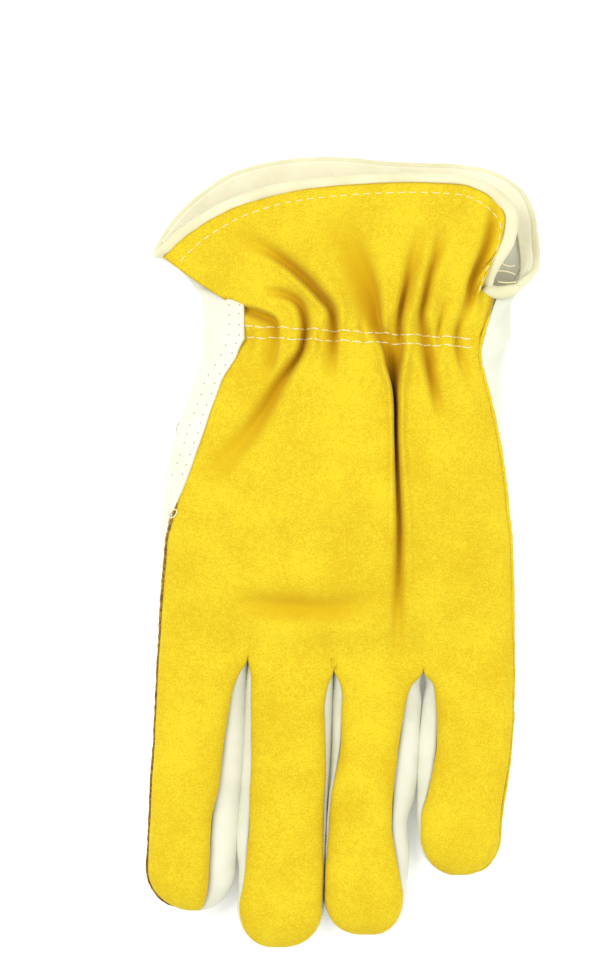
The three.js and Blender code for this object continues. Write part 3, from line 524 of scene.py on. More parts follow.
def arrays(bm):
    co = np.array([vert.co for vert in bm.verts])
    normal = np.array([vert.normal for vert in bm.verts])
    return co, normal


def smoothNoise(co, size, seed=0.0):
    return np.array([noise.noise(Vector(place) / size + Vector((seed, 0, 0))) for place in co])


def movePoints(bm, places):
    for vert, place in zip(bm.verts, places):
        vert.co = place


# True for the faces round the thumb's root, where the palm and the stall open into each other
def nearThumbRoot(face):
    away = math.dist(face.calc_center_median().xy, thumbShape["root"])
    return away < thumbShape["mouth"] * thumbShape["width"]


def finishPiece(bm, name, material, nodes=(), wall=0, edgeDarkReach=0):
    centre = Vector((-glove["middle"][0], -glove["middle"][1], 0))
    bmesh.ops.translate(bm, verts=bm.verts, vec=centre)
    bmesh.ops.scale(bm, verts=bm.verts, vec=(mm, mm, mm))
    mesh = bpy.data.meshes.new(name)
    # cutEdge is 1 at the piece's cut edges and fades inwards; the suede's colour turns darker brown there
    if edgeDarkReach:
        layer = bm.verts.layers.float.new("cutEdge")
        rim = [vert for vert in bm.verts if vert.is_boundary]
        tree = KDTree(len(rim))
        for k, vert in enumerate(rim):
            tree.insert(vert.co, k)
        tree.balance()
        for vert in bm.verts:
            vert[layer] = math.exp(-tree.find(vert.co)[2] / (edgeDarkReach * mm))
    bm.to_mesh(mesh)
    bm.free()
    mesh.polygons.foreach_set("use_smooth", [True] * len(mesh.polygons))
    piece = bpy.data.objects.new(name, mesh)
    bpy.context.scene.collection.objects.link(piece)
    mesh.materials.append(material)
    if wall:
        solid = piece.modifiers.new("wall", "SOLIDIFY")
        solid.thickness = wall * mm
        solid.offset = -1
        solid.use_even_offset = False
    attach(piece, "root")
    if nodes:
        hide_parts(*nodes)
    print("made", name, len(mesh.polygons), "faces")
    return piece


# Materials
def nodeIn(tree, kind, links=None, **values):
    made = tree.nodes.new(kind)
    for key, value in values.items():
        setattr(made, key, value)
    for key, source in (links or {}).items():
        tree.links.new(source, made.inputs[key])
    return made


def startMaterial(name):
    material = bpy.data.materials.new(name)
    material.use_nodes = True
    tree = material.node_tree
    tree.nodes.clear()
    output = nodeIn(tree, "ShaderNodeOutputMaterial")
    shader = nodeIn(tree, "ShaderNodeBsdfPrincipled")
    tree.links.new(shader.outputs[0], output.inputs[0])
    place = nodeIn(tree, "ShaderNodeTexCoord").outputs["Object"]
    return material, tree, shader, place


def noiseAt(tree, place, size, detail=3.0, roughness=0.55, stretch=None):
    if stretch:
        mapped = nodeIn(tree, "ShaderNodeMapping", {"Vector": place})
        mapped.inputs["Scale"].default_value = stretch
        place = mapped.outputs[0]
    made = nodeIn(tree, "ShaderNodeTexNoise", {"Vector": place})
    made.inputs["Scale"].default_value = 1 / (size * mm)
    made.inputs["Detail"].default_value = detail
    made.inputs["Roughness"].default_value = roughness
    return made.outputs["Fac"]


def rampAt(tree, value, *stops):
    made = nodeIn(tree, "ShaderNodeValToRGB", {"Fac": value})
    ramp = made.color_ramp
    while len(ramp.elements) < len(stops):
        ramp.elements.new(0.5)
    for element, (at, colour) in zip(ramp.elements, stops):
        element.position = at
        element.color = (*colour, 1)
    return made.outputs[0]


def mixAt(tree, factor, a, b):
    made = nodeIn(tree, "ShaderNodeMix", data_type="RGBA")
    for socket, value in ((made.inputs[0], factor), (made.inputs[6], a), (made.inputs[7], b)):
        if isinstance(value, (int, float)):
            socket.default_value = value
        elif isinstance(value, tuple):
            socket.default_value = (*value, 1)
        else:
            tree.links.new(value, socket)
    return made.outputs[2]


def mathAt(tree, operation, a, b=0.0, clamp=False):
    made = nodeIn(tree, "ShaderNodeMath", operation=operation, use_clamp=clamp)
    for socket, value in ((made.inputs[0], a), (made.inputs[1], b)):
        if isinstance(value, (int, float)):
            socket.default_value = value
        else:
            tree.links.new(value, socket)
    return made.outputs[0]


def bumpAt(tree, height, strength, distance, under=None):
    made = nodeIn(tree, "ShaderNodeBump", {"Height": height})
    made.inputs["Strength"].default_value = strength
    made.inputs["Distance"].default_value = distance * mm
    if under:
        tree.links.new(under, made.inputs["Normal"])
    return made.outputs[0]


# Colours, then the sizes of the patterns in millimetres, then how strongly each one shows
suedeLook = {
    "light": (0.71, 0.555, 0.020), "deep": (0.61, 0.415, 0.011), "speck": (0.42, 0.23, 0.006),
    # fold and slit are painted shade: the brown laid into the fold valleys and the near black into the
    # deepest creases; foldNap to slitSharp set how the nap breaks it up and where the near black starts
    "fold": (0.57, 0.34, 0.005), "slit": (0.13, 0.05, 0.002), "cut": (0.26, 0.10, 0.008),
    "nap": 0.55, "clump": 2.2, "cloud": 16, "speckSize": 0.4, "fibre": 0.5,
    "napShare": 0.6, "clumpShare": 0.15, "cloudShare": 0.25, "specks": 0.4,
    "foldNap": 1.5, "foldLeast": 0.2, "slitFrom": 1.45, "slitSharp": 2.6, "edgeDarkening": 0.5, "edgeDarkFade": 1.6,
    "rough": 0.93, "sheen": 0.12, "sheenTone": (1.0, 0.85, 0.35, 1),
}


def suedeMaterial():
    material, tree, shader, place = startMaterial("goldenSuede")
    look = suedeLook
    nap = noiseAt(tree, place, look["nap"], 4, 0.7)
    clump = noiseAt(tree, place, look["clump"], 3, 0.6)
    cloud = noiseAt(tree, place, look["cloud"], 2, 0.5)
    blend = mathAt(tree, "ADD", mathAt(tree, "MULTIPLY", nap, look["napShare"]),
                   mathAt(tree, "MULTIPLY", clump, look["clumpShare"]))
    blend = mathAt(tree, "ADD", blend, mathAt(tree, "MULTIPLY", cloud, look["cloudShare"]))
    tone = rampAt(tree, blend, (0.43, look["deep"]), (0.56, look["light"]))
    speck = noiseAt(tree, place, look["speckSize"], 2, 0.6)
    speck = rampAt(tree, speck, (0.62, (0, 0, 0)), (0.74, (1, 1, 1)))
    tone = mixAt(tree, mathAt(tree, "MULTIPLY", speck, look["specks"]), tone, look["speck"])
    # Painted shade: fold valleys take the fold brown, broken up by the nap, and the deepest creases the
    # slit's near black
    fold = nodeIn(tree, "ShaderNodeAttribute", attribute_name="foldShade").outputs["Fac"]
    foldShadeBreakup = mathAt(tree, "ADD", mathAt(tree, "MULTIPLY", nap, look["foldNap"]), look["foldLeast"])
    tone = mixAt(tree, mathAt(tree, "MULTIPLY", fold, foldShadeBreakup, True), tone, look["fold"])
    slit = mathAt(tree, "SUBTRACT", fold, look["slitFrom"])
    tone = mixAt(tree, mathAt(tree, "MULTIPLY", slit, look["slitSharp"], True), tone, look["slit"])
    # Darker brown towards the suede's cut edges
    cut = nodeIn(tree, "ShaderNodeAttribute", attribute_name="cutEdge").outputs["Fac"]
    edge = mathAt(tree, "MULTIPLY", mathAt(tree, "POWER", cut, look["edgeDarkFade"]), look["edgeDarkening"])
    tone = mixAt(tree, edge, tone, look["cut"])
    tree.links.new(tone, shader.inputs["Base Color"])
    fibre = noiseAt(tree, place, look["fibre"], 3, 0.7, (1.0, 0.45, 1.0))
    rough = bumpAt(tree, clump, 0.2, 0.3)
    rough = bumpAt(tree, nap, 0.6, 0.14, rough)
    tree.links.new(bumpAt(tree, fibre, 0.45, 0.08, rough), shader.inputs["Normal"])
    shader.inputs["Roughness"].default_value = look["rough"]
    shader.inputs["Specular IOR Level"].default_value = 0.1
    shader.inputs["Sheen Weight"].default_value = look["sheen"]
    shader.inputs["Sheen Roughness"].default_value = 0.5
    shader.inputs["Sheen Tint"].default_value = look["sheenTone"]
    return material


# Grain leathers: the light and the shaded tone and the roughness of each, then their patterns' sizes
leathers = {
    "creamGrain": ((0.735, 0.74, 0.63), (0.67, 0.68, 0.56), 0.5),
    "bandLeather": ((0.72, 0.69, 0.46), (0.66, 0.62, 0.39), 0.55),
    # the facing is the band's leather painted lighter: painted light where it lies shaded inside the cuff
    "lightenedFacingLeather": ((0.86, 0.83, 0.62), (0.80, 0.76, 0.54), 0.6),
}
grainLook = {"cloud": 12, "pores": 0.9, "poreShade": 0.10, "crease": 4.5, "fine": 0.35, "glossSpread": 0.06}


def grainMaterial(name):
    material, tree, shader, place = startMaterial(name)
    light, shade, gloss = leathers[name]
    look = grainLook
    cloud = noiseAt(tree, place, look["cloud"], 3, 0.55)
    pores = nodeIn(tree, "ShaderNodeTexVoronoi", {"Vector": place}, feature="DISTANCE_TO_EDGE")
    pores.inputs["Scale"].default_value = 1 / (look["pores"] * mm)
    cells = rampAt(tree, pores.outputs["Distance"], (0.0, (0, 0, 0)), (0.22, (1, 1, 1)))
    crease = noiseAt(tree, place, look["crease"], 4, 0.62, (1.0, 0.55, 1.0))
    tone = rampAt(tree, cloud, (0.35, shade), (0.62, light))
    between = mathAt(tree, "SUBTRACT", 1.0, cells)
    tone = mixAt(tree, mathAt(tree, "MULTIPLY", between, look["poreShade"]), tone, shade)
    tree.links.new(tone, shader.inputs["Base Color"])
    fine = noiseAt(tree, place, look["fine"], 3, 0.6)
    surface = bumpAt(tree, crease, 0.30, 0.5)
    surface = bumpAt(tree, cells, 0.18, 0.06, surface)
    tree.links.new(bumpAt(tree, fine, 0.15, 0.05, surface), shader.inputs["Normal"])
    roughness = nodeIn(tree, "ShaderNodeMapRange", {"Value": cloud})
    roughness.inputs["To Min"].default_value = gloss - look["glossSpread"]
    roughness.inputs["To Max"].default_value = gloss + look["glossSpread"]
    tree.links.new(roughness.outputs[0], shader.inputs["Roughness"])
    shader.inputs["Specular IOR Level"].default_value = 0.35
    return material


threadLook = {"light": (0.84, 0.77, 0.46), "shade": (0.74, 0.65, 0.33), "twist": 1.2}


def threadMaterial():
    material, tree, shader, place = startMaterial("spunThread")
    twist = nodeIn(tree, "ShaderNodeTexWave", {"Vector": place},
                   wave_type="BANDS", bands_direction="DIAGONAL")
    twist.inputs["Scale"].default_value = 1 / (threadLook["twist"] * mm)
    twist.inputs["Distortion"].default_value = 1.5
    tone = rampAt(tree, twist.outputs["Fac"], (0.1, threadLook["shade"]), (0.8, threadLook["light"]))
    tree.links.new(tone, shader.inputs["Base Color"])
    tree.links.new(bumpAt(tree, twist.outputs["Fac"], 0.4, 0.08), shader.inputs["Normal"])
    shader.inputs["Roughness"].default_value = 0.7
    return material


# The thumb side seam: a brown to near black tube, partly the raw edge's colour and partly painted shade in
# the seam
rawEdgeAndSeamShadeLook = {"light": (0.36, 0.20, 0.02), "shade": (0.10, 0.045, 0.006), "patch": 1.1}


def rawEdgeAndSeamShadeMaterial():
    material, tree, shader, place = startMaterial("rawEdgeAndSeamShade")
    patches = noiseAt(tree, place, rawEdgeAndSeamShadeLook["patch"], 3, 0.6)
    tone = rampAt(tree, patches, (0.38, rawEdgeAndSeamShadeLook["shade"]), (0.62, rawEdgeAndSeamShadeLook["light"]))
    tree.links.new(tone, shader.inputs["Base Color"])
    shader.inputs["Roughness"].default_value = 0.9
    return material


# One colour without a pattern
def plainMaterial(name, tone):
    material, _, shader, _ = startMaterial(name)
    shader.inputs["Base Color"].default_value = (*tone, 1)
    shader.inputs["Roughness"].default_value = 0.9
    return material, shader


suede = suedeMaterial()
grain = grainMaterial("creamGrain")
bandLeather = grainMaterial("bandLeather")
lightenedFacingLeather = grainMaterial("lightenedFacingLeather")
thread = threadMaterial()
rawEdgeAndSeamShade = rawEdgeAndSeamShadeMaterial()
print("materials ready")

# Gather folds of the back, each from the cuff towards the hand: x from the glove's middle, y above
# the shirring, deep for the depth, left and right for the widths of the two slopes.
foldColumns = ["x", "y", "deep", "left", "right"]
shirringLine = 72.7
folds = {
    "flapCrease": ((-36, 12.0, 2.4, 1.6, 0.5), (-31.7, 9.6, 2.8, 1.9, 0.5), (-26.3, 7.9, 3.4, 2.3, 0.5),
                   (-21.4, 5.2, 3.4, 3.0, 0.6), (-20.8, -1.0, 2.4, 3.4, 0.8), (-22.4, -9.3, 1.6, 3.0, 1.4),
                   (-25.3, -17.0, 0.0, 2.5, 2.0)),
    "crescent": ((-26.0, 14.6, 0.0, 1.5, 1.5), (-18.0, 13.3, 2.4, 1.0, 1.8), (-14.0, 10.6, 3.4, 0.8, 2.0),
                 (-12.2, 6.0, 4.0, 0.8, 1.9), (-11.9, 0.7, 4.2, 0.8, 1.8), (-13.0, -5.0, 4.4, 0.8, 1.4),
                 (-16.0, -9.7, 4.2, 1.1, 1.6), (-19.6, -14.7, 3.8, 1.5, 2.1), (-25.7, -25.0, 3.1, 2.0, 2.8),
                 (-31.3, -33.3, 2.4, 2.8, 3.4), (-40.0, -43.0, 1.1, 3.4, 3.8), (-47.0, -50.0, 0.0, 4.0, 4.0)),
    "flapSweep": ((-35.0, 33.5, 0.0, 3.5, 3.0), (-26.5, 29.4, 1.6, 2.0, 2.8), (-20.7, 25.3, 3.2, 0.8, 2.6),
                  (-14.0, 20.0, 4.4, 0.6, 2.3), (-7.3, 13.3, 4.8, 0.6, 2.0), (-2.9, 8.4, 4.8, 0.9, 1.6),
                  (-1.3, 3.0, 4.0, 2.2, 0.8), (-1.2, -2.0, 3.2, 2.8, 0.7), (-1.7, -7.0, 2.2, 2.8, 0.9),
                  (-2.6, -15.0, 0.0, 2.4, 1.5)),
    "longCrease": ((-3.0, 43.0, 0.0, 5.0, 4.5), (4.0, 30.0, 1.7, 5.0, 4.0), (9.7, 18.0, 3.4, 5.4, 2.4),
                   (12.6, 9.0, 4.4, 5.0, 1.0), (13.6, 3.0, 4.2, 3.4, 0.7), (14.6, -3.2, 3.8, 0.7, 2.4),
                   (16.3, -10.5, 4.2, 0.6, 2.0), (18.2, -16.5, 5.8, 0.6, 0.9), (18.8, -22.0, 6.4, 0.6, 0.6),
                   (18.9, -31.0, 6.2, 0.55, 0.5), (19.1, -40.0, 5.6, 0.6, 0.6), (19.5, -51.0, 4.6, 0.8, 0.8),
                   (19.9, -62.0, 4.0, 1.0, 1.0), (19.8, -75.0, 3.2, 1.3, 1.2), (19.5, -90.0, 2.0, 1.7, 1.6),
                   (19.2, -108.0, 0.0, 3.0, 3.0)),
    "branch": ((28.0, 37.0, 0.0, 2.5, 2.5), (24.5, 26.0, 1.6, 1.8, 2.2), (22.2, 17.5, 3.0, 1.0, 1.9),
               (20.6, 10.0, 4.0, 0.9, 1.3), (20.2, 4.0, 3.4, 1.6, 0.8), (20.7, -2.5, 3.6, 2.4, 0.7),
               (19.7, -10.5, 3.8, 1.9, 0.7), (18.9, -18.5, 0.0, 1.0, 0.8)),
    "hollow": ((16.4, 5.0, 0.0, 1.0, 1.0), (17.0, -1.0, 2.2, 1.8, 2.0), (17.6, -8.0, 3.4, 1.5, 1.7),
               (18.4, -14.0, 3.2, 0.8, 0.9), (18.8, -20.0, 0.0, 0.5, 0.5)),
    "outerGather": ((34.5, 37.0, 0.0, 2.2, 2.2), (32.4, 27.7, 2.0, 1.4, 1.6), (29.8, 20.0, 3.0, 1.0, 1.4),
                    (28.2, 12.5, 3.6, 0.9, 1.2), (27.4, 6.5, 3.2, 1.2, 1.0), (28.4, 0.0, 3.0, 1.8, 1.6),
                    (29.6, -6.0, 3.8, 1.8, 1.8), (30.4, -12.0, 3.6, 1.4, 1.4), (31.8, -18.0, 2.6, 1.5, 1.6),
                    (34.0, -28.0, 0.0, 1.8, 2.0)),
    "smallGather": ((36.5, 12.5, 0.0, 1.2, 1.2), (34.8, 8.5, 1.0, 0.9, 0.9), (33.4, 4.5, 1.5, 0.8, 0.8),
                    (32.8, -1.0, 1.4, 0.8, 0.9), (33.2, -7.0, 0.0, 1.0, 1.0)),
    "rimRoll": ((51.2, 43.0, 0.8, 1.4, 1.4), (49.8, 35.0, 2.8, 1.2, 1.9), (47.6, 28.0, 3.6, 1.0, 2.4),
                (45.0, 22.0, 4.2, 0.8, 2.6), (43.4, 17.0, 4.2, 0.8, 2.5), (43.0, 12.5, 3.2, 1.1, 2.4),
                (41.6, 7.5, 1.6, 1.2, 1.3), (39.6, 2.0, 2.0, 0.9, 1.1), (39.6, -4.5, 2.0, 0.9, 1.3),
                (42.0, -12.0, 0.8, 1.4, 1.8), (44.5, -18.0, 0.0, 1.6, 2.0)),
    "leftPucker": ((-30.4, 5.0, 0.0, 1.0, 1.0), (-29.4, -1.0, 0.9, 1.0, 1.4), (-30.6, -10.0, 0.0, 1.6, 2.0)),
    "innerPucker": ((7.2, 7.0, 0.0, 0.9, 0.9), (7.4, 1.0, 1.1, 0.9, 0.9), (8.0, -5.0, 0.0, 0.9, 0.9)),
    "midPucker": ((-7.4, 6.0, 0.0, 0.9, 0.9), (-6.6, 0.0, 0.8, 0.9, 0.9), (-6.8, -7.0, 0.0, 0.9, 0.9)),
    "knuckleDent": ((-40, -87, 0.0, 4.0, 4.0), (-20, -90, 2.2, 3.6, 4.2), (0, -90, 1.9, 3.6, 4.2),
                    (18, -86, 0.0, 4.0, 4.0)),
}
# deeper to puffWidth shape the folds; darkAt to darkSharp shape the painted shade laid into their valleys
foldForm = {"deeper": 1.2, "narrowest": 0.2, "sharp": 1.7, "margin": 14,
            "puff": 0.22, "puffAt": 2.1, "puffOut": 0.8, "puffWidth": 0.45,
            "darkAt": 4.0, "darkMost": 2, "darkReach": 1.25, "darkSharp": 3.6}


# One smooth curve through a fold's rows, sampled closely.
def smoothRows(rows, step=0.8):
    rows = np.array(rows, float)
    lengths = np.concatenate(([0], np.cumsum(np.hypot(*np.diff(rows[:, :2], axis=0).T))))
    count = max(int(lengths[-1] / step), 4)
    at = np.linspace(0, lengths[-1], count)
    tangents = np.gradient(rows, lengths, axis=0)
    i = np.clip(np.searchsorted(lengths, at, side="right") - 1, 0, len(rows) - 2)
    span = (lengths[i + 1] - lengths[i])[:, None]
    return curveBetween(rows, tangents, i, (at - lengths[i])[:, None] / span, span)


# Height change that all the folds give at each place, and how much painted shade the suede's colour gets
# there, darkest in the deepest valleys.
def gathers(co):
    out = np.zeros(len(co))
    shade = np.zeros(len(co))
    for rows in folds.values():
        path = smoothRows(rows)
        path[:, 1] += shirringLine
        margin = foldForm["margin"]
        low, high = path[:, :2].min(axis=0) - margin, path[:, :2].max(axis=0) + margin
        index = np.nonzero(((co[:, :2] > low) & (co[:, :2] < high)).all(axis=1))[0]
        x, y = co[index, 0], co[index, 1]
        near = np.full(len(index), np.inf)
        deep = np.zeros(len(index))
        width = np.zeros(len(index))
        for a, b in zip(path[:-1], path[1:]):
            dx, dy = b[0] - a[0], b[1] - a[1]
            t = np.clip(((x - a[0]) * dx + (y - a[1]) * dy) / (dx * dx + dy * dy), 0, 1)
            offX, offY = x - a[0] - t * dx, y - a[1] - t * dy
            d = np.hypot(offX, offY)
            row = dict(zip(foldColumns, lerp(a, b, t[:, None]).T))
            closer = d < near
            near = np.where(closer, d, near)
            slope = np.where(dx * offY > dy * offX, row["right"], row["left"])
            deep = np.where(closer, row["deep"], deep)
            width = np.where(closer, slope, width)
        deep = deep * foldForm["deeper"]
        width = np.maximum(width, foldForm["narrowest"])
        valley = np.exp(-(near / width) ** foldForm["sharp"])
        puffAt = foldForm["puffAt"] * width + foldForm["puffOut"]
        puff = foldForm["puff"] * np.exp(-((near - puffAt) / (foldForm["puffWidth"] * puffAt)) ** 2)
        out[index] += deep * (puff - valley)
        # Painted shade: the colour darkens along each fold's valley, more for deeper folds
        dark = np.exp(-(near / (foldForm["darkReach"] * width)) ** foldForm["darkSharp"])
        darkest = np.clip(deep / foldForm["darkAt"], 0, foldForm["darkMost"])
        shade[index] = np.maximum(shade[index], darkest * dark)
    return out, shade


# Suede back
backShape = {
    "columns": 38, "creaseFinger": 2, "creaseAt": 2.56, "creaseReach": 0.16, "creaseExtra": 1.6,
    "creaseColumns": 14, "handRows": 118, "rowEase": 1.25, "cuffRows": 74, "fingerRows": 56, "tipRows": 12,
    "shirringDip": 0.9, "shirringWidth": 3.2, "edgeDarkWidth": 0.5,
    # dents and ripple: height, size and seed, and how the dents fade at edges and fingertips
    "dents": ((0.7, 17, 3), (1.0, 38, 5)), "ripple": (0.12, 6, 11), "edgeFade": 6, "tipFade": (-90, 60),
    # how the folds are held back under the lap, at the seam and along the rolled rim
    "lapReach": 4, "lapSink": 0.5, "edgeReach": 5, "rimFrom": 38, "rimReach": 6, "rimHold": 0.7,
}


# Rows of a finger from its tip to its root, closer together round the tip.
def fingerRows(shape):
    return np.concatenate((np.linspace(-2, -1, shape["tipRows"] + 1)[:-1],
                           np.linspace(-1, 0, shape["fingerRows"] + 1)))


# Columns of the back, closer together along the long crease.
def backColumns():
    made = []
    for f in range(4):
        fine = np.linspace(f, f + 1, 401)
        off = (fine - backShape["creaseAt"]) / backShape["creaseReach"]
        density = 1 + backShape["creaseExtra"] * np.exp(-off ** 2)
        total = np.concatenate(([0], np.cumsum((density[1:] + density[:-1]) / 2)))
        count = backShape["columns"] + (backShape["creaseColumns"] if f == backShape["creaseFinger"] else 0)
        made.extend(np.interp(np.linspace(0, total[-1], count + 1)[:-1], total, fine))
    return np.array(made + [4.0])


# Adds dents to the folds, and keeps them from coming through the lap or past the rolled rim.
def calmEdges(co, normal, out):
    x, y = co[:, 0], co[:, 1]
    edges = handAt(y)
    fromLeft, fromRight = x - edges["seamLeft"], edges["seamRight"] - x
    lapped = lapAt(y) * (1 - ease(fromLeft / backShape["lapReach"]))
    out = np.where(out > 0, out * (1 - lapped), out) - backShape["lapSink"] * lapped
    tipEnd, tipReach = backShape["tipFade"]
    fade = ease((y - rootLine - tipEnd) / tipReach)
    fade *= ease(fromLeft / backShape["edgeFade"]) * ease(fromRight / backShape["edgeFade"])
    for height, size, seed in backShape["dents"]:
        out += height * smoothNoise(co, size, seed) * fade
    height, size, seed = backShape["ripple"]
    out += height * smoothNoise(co, size, seed)
    out -= backShape["shirringDip"] * np.exp(-((y - shirringLine) / backShape["shirringWidth"]) ** 2)
    edgeShare = ease(fromLeft / backShape["edgeReach"])
    normal[:, :2] *= np.where(y > lapping["from"], edgeShare, 1)[:, None]
    rimShare = ease((x - backShape["rimFrom"]) / backShape["rimReach"])
    rimShare *= ease((y - shirringLine) / backShape["rimReach"])
    normal[:, :2] *= (1 - backShape["rimHold"] * rimShare)[:, None]
    return out, normal


def suedeBack():
    bm = bmesh.new()
    columns = backColumns()
    handRows = 1 - (1 - np.linspace(0, 1, backShape["handRows"] + 1)) ** backShape["rowEase"]
    patch(bm, backOfHand, columns, handRows)
    patch(bm, backOfCuff, columns, np.linspace(0, 1, backShape["cuffRows"] + 1))
    for f in range(4):
        share = columns[(columns >= f) & (columns <= f + 1)] - f
        patch(bm, lambda c, r, f=f: fingerBack(f, -r, c), share, fingerRows(backShape))
    weld(bm)
    co, normal = arrays(bm)
    out, shade = gathers(co)
    # foldShade carries the painted shade of the fold valleys to the suede's colour
    layer = bm.verts.layers.float.new("foldShade")
    for vert, value in zip(bm.verts, shade):
        vert[layer] = value
    out, normal = calmEdges(co, normal, out)
    movePoints(bm, co + normal * out[:, None])
    return finishPiece(bm, "suedeBack", suede, ["back_panel"], glove["suedeWall"],
                       backShape["edgeDarkWidth"])


back = suedeBack()


# Grain leather palm, round both sides and over the suede edge on the thumb side
palmShape = {"step": 0.25, "wrapStep": 0.11, "handRows": 84, "cuffRows": 46, "fingerRows": 44, "tipRows": 9,
             "crease": 0.22, "creaseSize": 7, "seed": 21, "flatUpTo": 1, "creaseReach": 5}


def grainPalm():
    bm = bmesh.new()
    last = palmStart[4]
    columns = np.unique(np.round(np.concatenate((
        np.arange(0, wrapColumns, palmShape["wrapStep"]),
        np.arange(wrapColumns, last - wrapColumns, palmShape["step"]),
        np.arange(last - wrapColumns, last, palmShape["wrapStep"]), np.arange(last + 1))), 4))
    patch(bm, palmOfHand, columns, np.linspace(0, 1, palmShape["handRows"] + 1))
    patch(bm, palmOfCuff, columns, np.linspace(0, 1, palmShape["cuffRows"] + 1))
    for f in range(4):
        first, last = palmStart[f], palmStart[f + 1]
        share = (columns[(columns >= first) & (columns <= last)] - first) / (last - first)
        patch(bm, lambda c, r, f=f: fingerPalm(f, -r, c), share, fingerRows(palmShape))
    weld(bm)
    hole = [face for face in bm.faces if nearThumbRoot(face) and face.normal.z > 0.3]
    bmesh.ops.delete(bm, geom=hole, context="FACES")
    bmesh.ops.reverse_faces(bm, faces=bm.faces)
    bm.normal_update()
    co, normal = arrays(bm)
    out = palmShape["crease"] * smoothNoise(co, palmShape["creaseSize"], palmShape["seed"])
    out *= ease((co[:, 2] - palmShape["flatUpTo"]) / palmShape["creaseReach"])
    movePoints(bm, co + normal * out[:, None])
    return finishPiece(bm, "grainPalm", grain, ["palm_panel"], glove["grainWall"])


palm = grainPalm()


# Fourchettes between the fingers
fourchetteShape = {"rows": 60, "tipRows": 10, "across": 12, "sliver": 0.06,
                   "crease": 0.15, "creaseSize": 5, "seed": 30}


def fourchetteSide(k, u, w):
    result = np.zeros((len(u), 3))
    for onLeft in (True, False):
        here = (u < 0) if onLeft else (u >= 0)
        f = k if onLeft else k + 1
        r, v = np.abs(u[here]), w[here]
        row = fingerRow(f, r)
        sides = fingerAt(f, row["at"])
        seam = sides["seamRight"] if onLeft else sides["seamLeft"]
        outline = sides["right"] if onLeft else sides["left"]
        wall = glove["grainWall"]
        palmEdge = np.maximum(seam, outline - wall) if onLeft else np.minimum(seam, outline + wall)
        bulge = 2 * outline - (seam + palmEdge) / 2
        x = (1 - v) ** 2 * seam + 2 * v * (1 - v) * bulge + v * v * palmEdge
        tuck = 1 - ease(r / tip["crotchReach"])
        top = seamHeight(row["at"], 1) - glove["seamGap"] - glove["suedeWall"] * tuck
        low = glove["palmSeam"] + glove["seamGap"] + wall * tuck
        made = placeOnFinger(f, row, 1.0 if onLeft else 0.0, x, lerp(top, low, v), glove["tipSeam"])
        made[:, 2] += fourchetteShape["sliver"] * (1 - 2 * v)
        result[here] = made
    return result


def fourchette(k, name, node):
    bm = bmesh.new()
    down = np.concatenate((np.linspace(0, 1, fourchetteShape["rows"] + 1),
                           np.linspace(1, 2, fourchetteShape["tipRows"] + 1)[1:]))
    stations = np.concatenate((-down[::-1], down[1:]))
    across = np.linspace(0, 1, fourchetteShape["across"] + 1)
    patch(bm, lambda u, w: fourchetteSide(k, u, w), stations, across)
    bmesh.ops.reverse_faces(bm, faces=bm.faces)
    bm.normal_update()
    co, normal = arrays(bm)
    seed = fourchetteShape["seed"] + k
    out = fourchetteShape["crease"] * smoothNoise(co, fourchetteShape["creaseSize"], seed)
    movePoints(bm, co + normal * out[:, None])
    return finishPiece(bm, name, grain, [node], glove["grainWall"])


fourchette(0, "fourchetteIndexMiddle", "fourchette_index_middle")
fourchette(1, "fourchetteMiddleRing", "fourchette_middle_ring")
fourchette(2, "fourchetteRingLittle", "fourchette_ring_little")


# Thumb stall, pressed flat under the palm
def thumbSkin(column, row):
    # rows run from -1 to 0 round the root's end, to 1 along the stall and to 2 round the tip
    shape = thumbShape
    turn = np.clip(np.maximum(-row, row - 1), 0, 1) * shape["turn"]
    half = shape["width"] / 2
    spread = np.cos(turn) ** shape["plan"]
    along = np.clip(row, 0, 1) * thumbReach + np.sign(row - 0.5) * half * np.sin(turn)
    angle = column * 2 * math.pi
    side = signedPower(np.cos(angle), shape["side"]) * half * spread
    up = signedPower(np.sin(angle), shape["top"]) * spread ** shape["end"]
    aimX, aimY = shape["aim"]
    return points(shape["root"][0] + aimX * along - aimY * side,
                  shape["root"][1] + aimY * along + aimX * side, shape["height"] / 2 * (1 + up))


def thumbStall():
    bm = bmesh.new()
    rounding, along = thumbShape["tipRows"] + 1, thumbShape["rows"] + 1
    rows = np.concatenate((np.linspace(-1, 0, rounding), np.linspace(0, 1, along)[1:],
                           np.linspace(1, 2, rounding)[1:]))
    patch(bm, thumbSkin, np.linspace(0, 1, thumbShape["columns"] + 1), rows)
    weld(bm, 0.01)
    ends = [edge for edge in bm.edges if edge.is_boundary]
    bmesh.ops.holes_fill(bm, edges=ends, sides=0)
    bmesh.ops.recalc_face_normals(bm, faces=bm.faces)
    mouth = [face for face in bm.faces
             if nearThumbRoot(face) and face.calc_center_median().z > thumbShape["height"] / 2]
    bmesh.ops.delete(bm, geom=mouth, context="FACES")
    return finishPiece(bm, "thumbStall", grain, ["thumb"], glove["grainWall"])


thumbStall()

# Rolled band round the mouth of the cuff. The shares are of each rim's width; corner adds two
# places where the rims meet, each with its outward direction and width.
band = {"gap": 0.6, "depth": 3.6, "thick": 2.8, "tuck": 1.0, "sink": 0.9, "sides": 18, "stations": 620,
        "backShares": np.append(np.linspace(0.03, 0.96, 25), 0.975),
        "palmShares": np.append(0.966, np.linspace(0.945, 0.05, 16)), "beside": 0.006, "within": 0.96,
        "square": 0.85, "wrinkle": 0.14, "wrinkleSize": 3.5, "seed": 40,
        "wider": 0.36, "widerFrom": 0.78, "widerReach": 0.14,
        "corner": ((49.4, 88.4, 16.0, -0.45, -0.9, 0.0, 1.3), (56.4, 87.8, 13.2, 0.3, -0.95, 0.0, 1.15))}


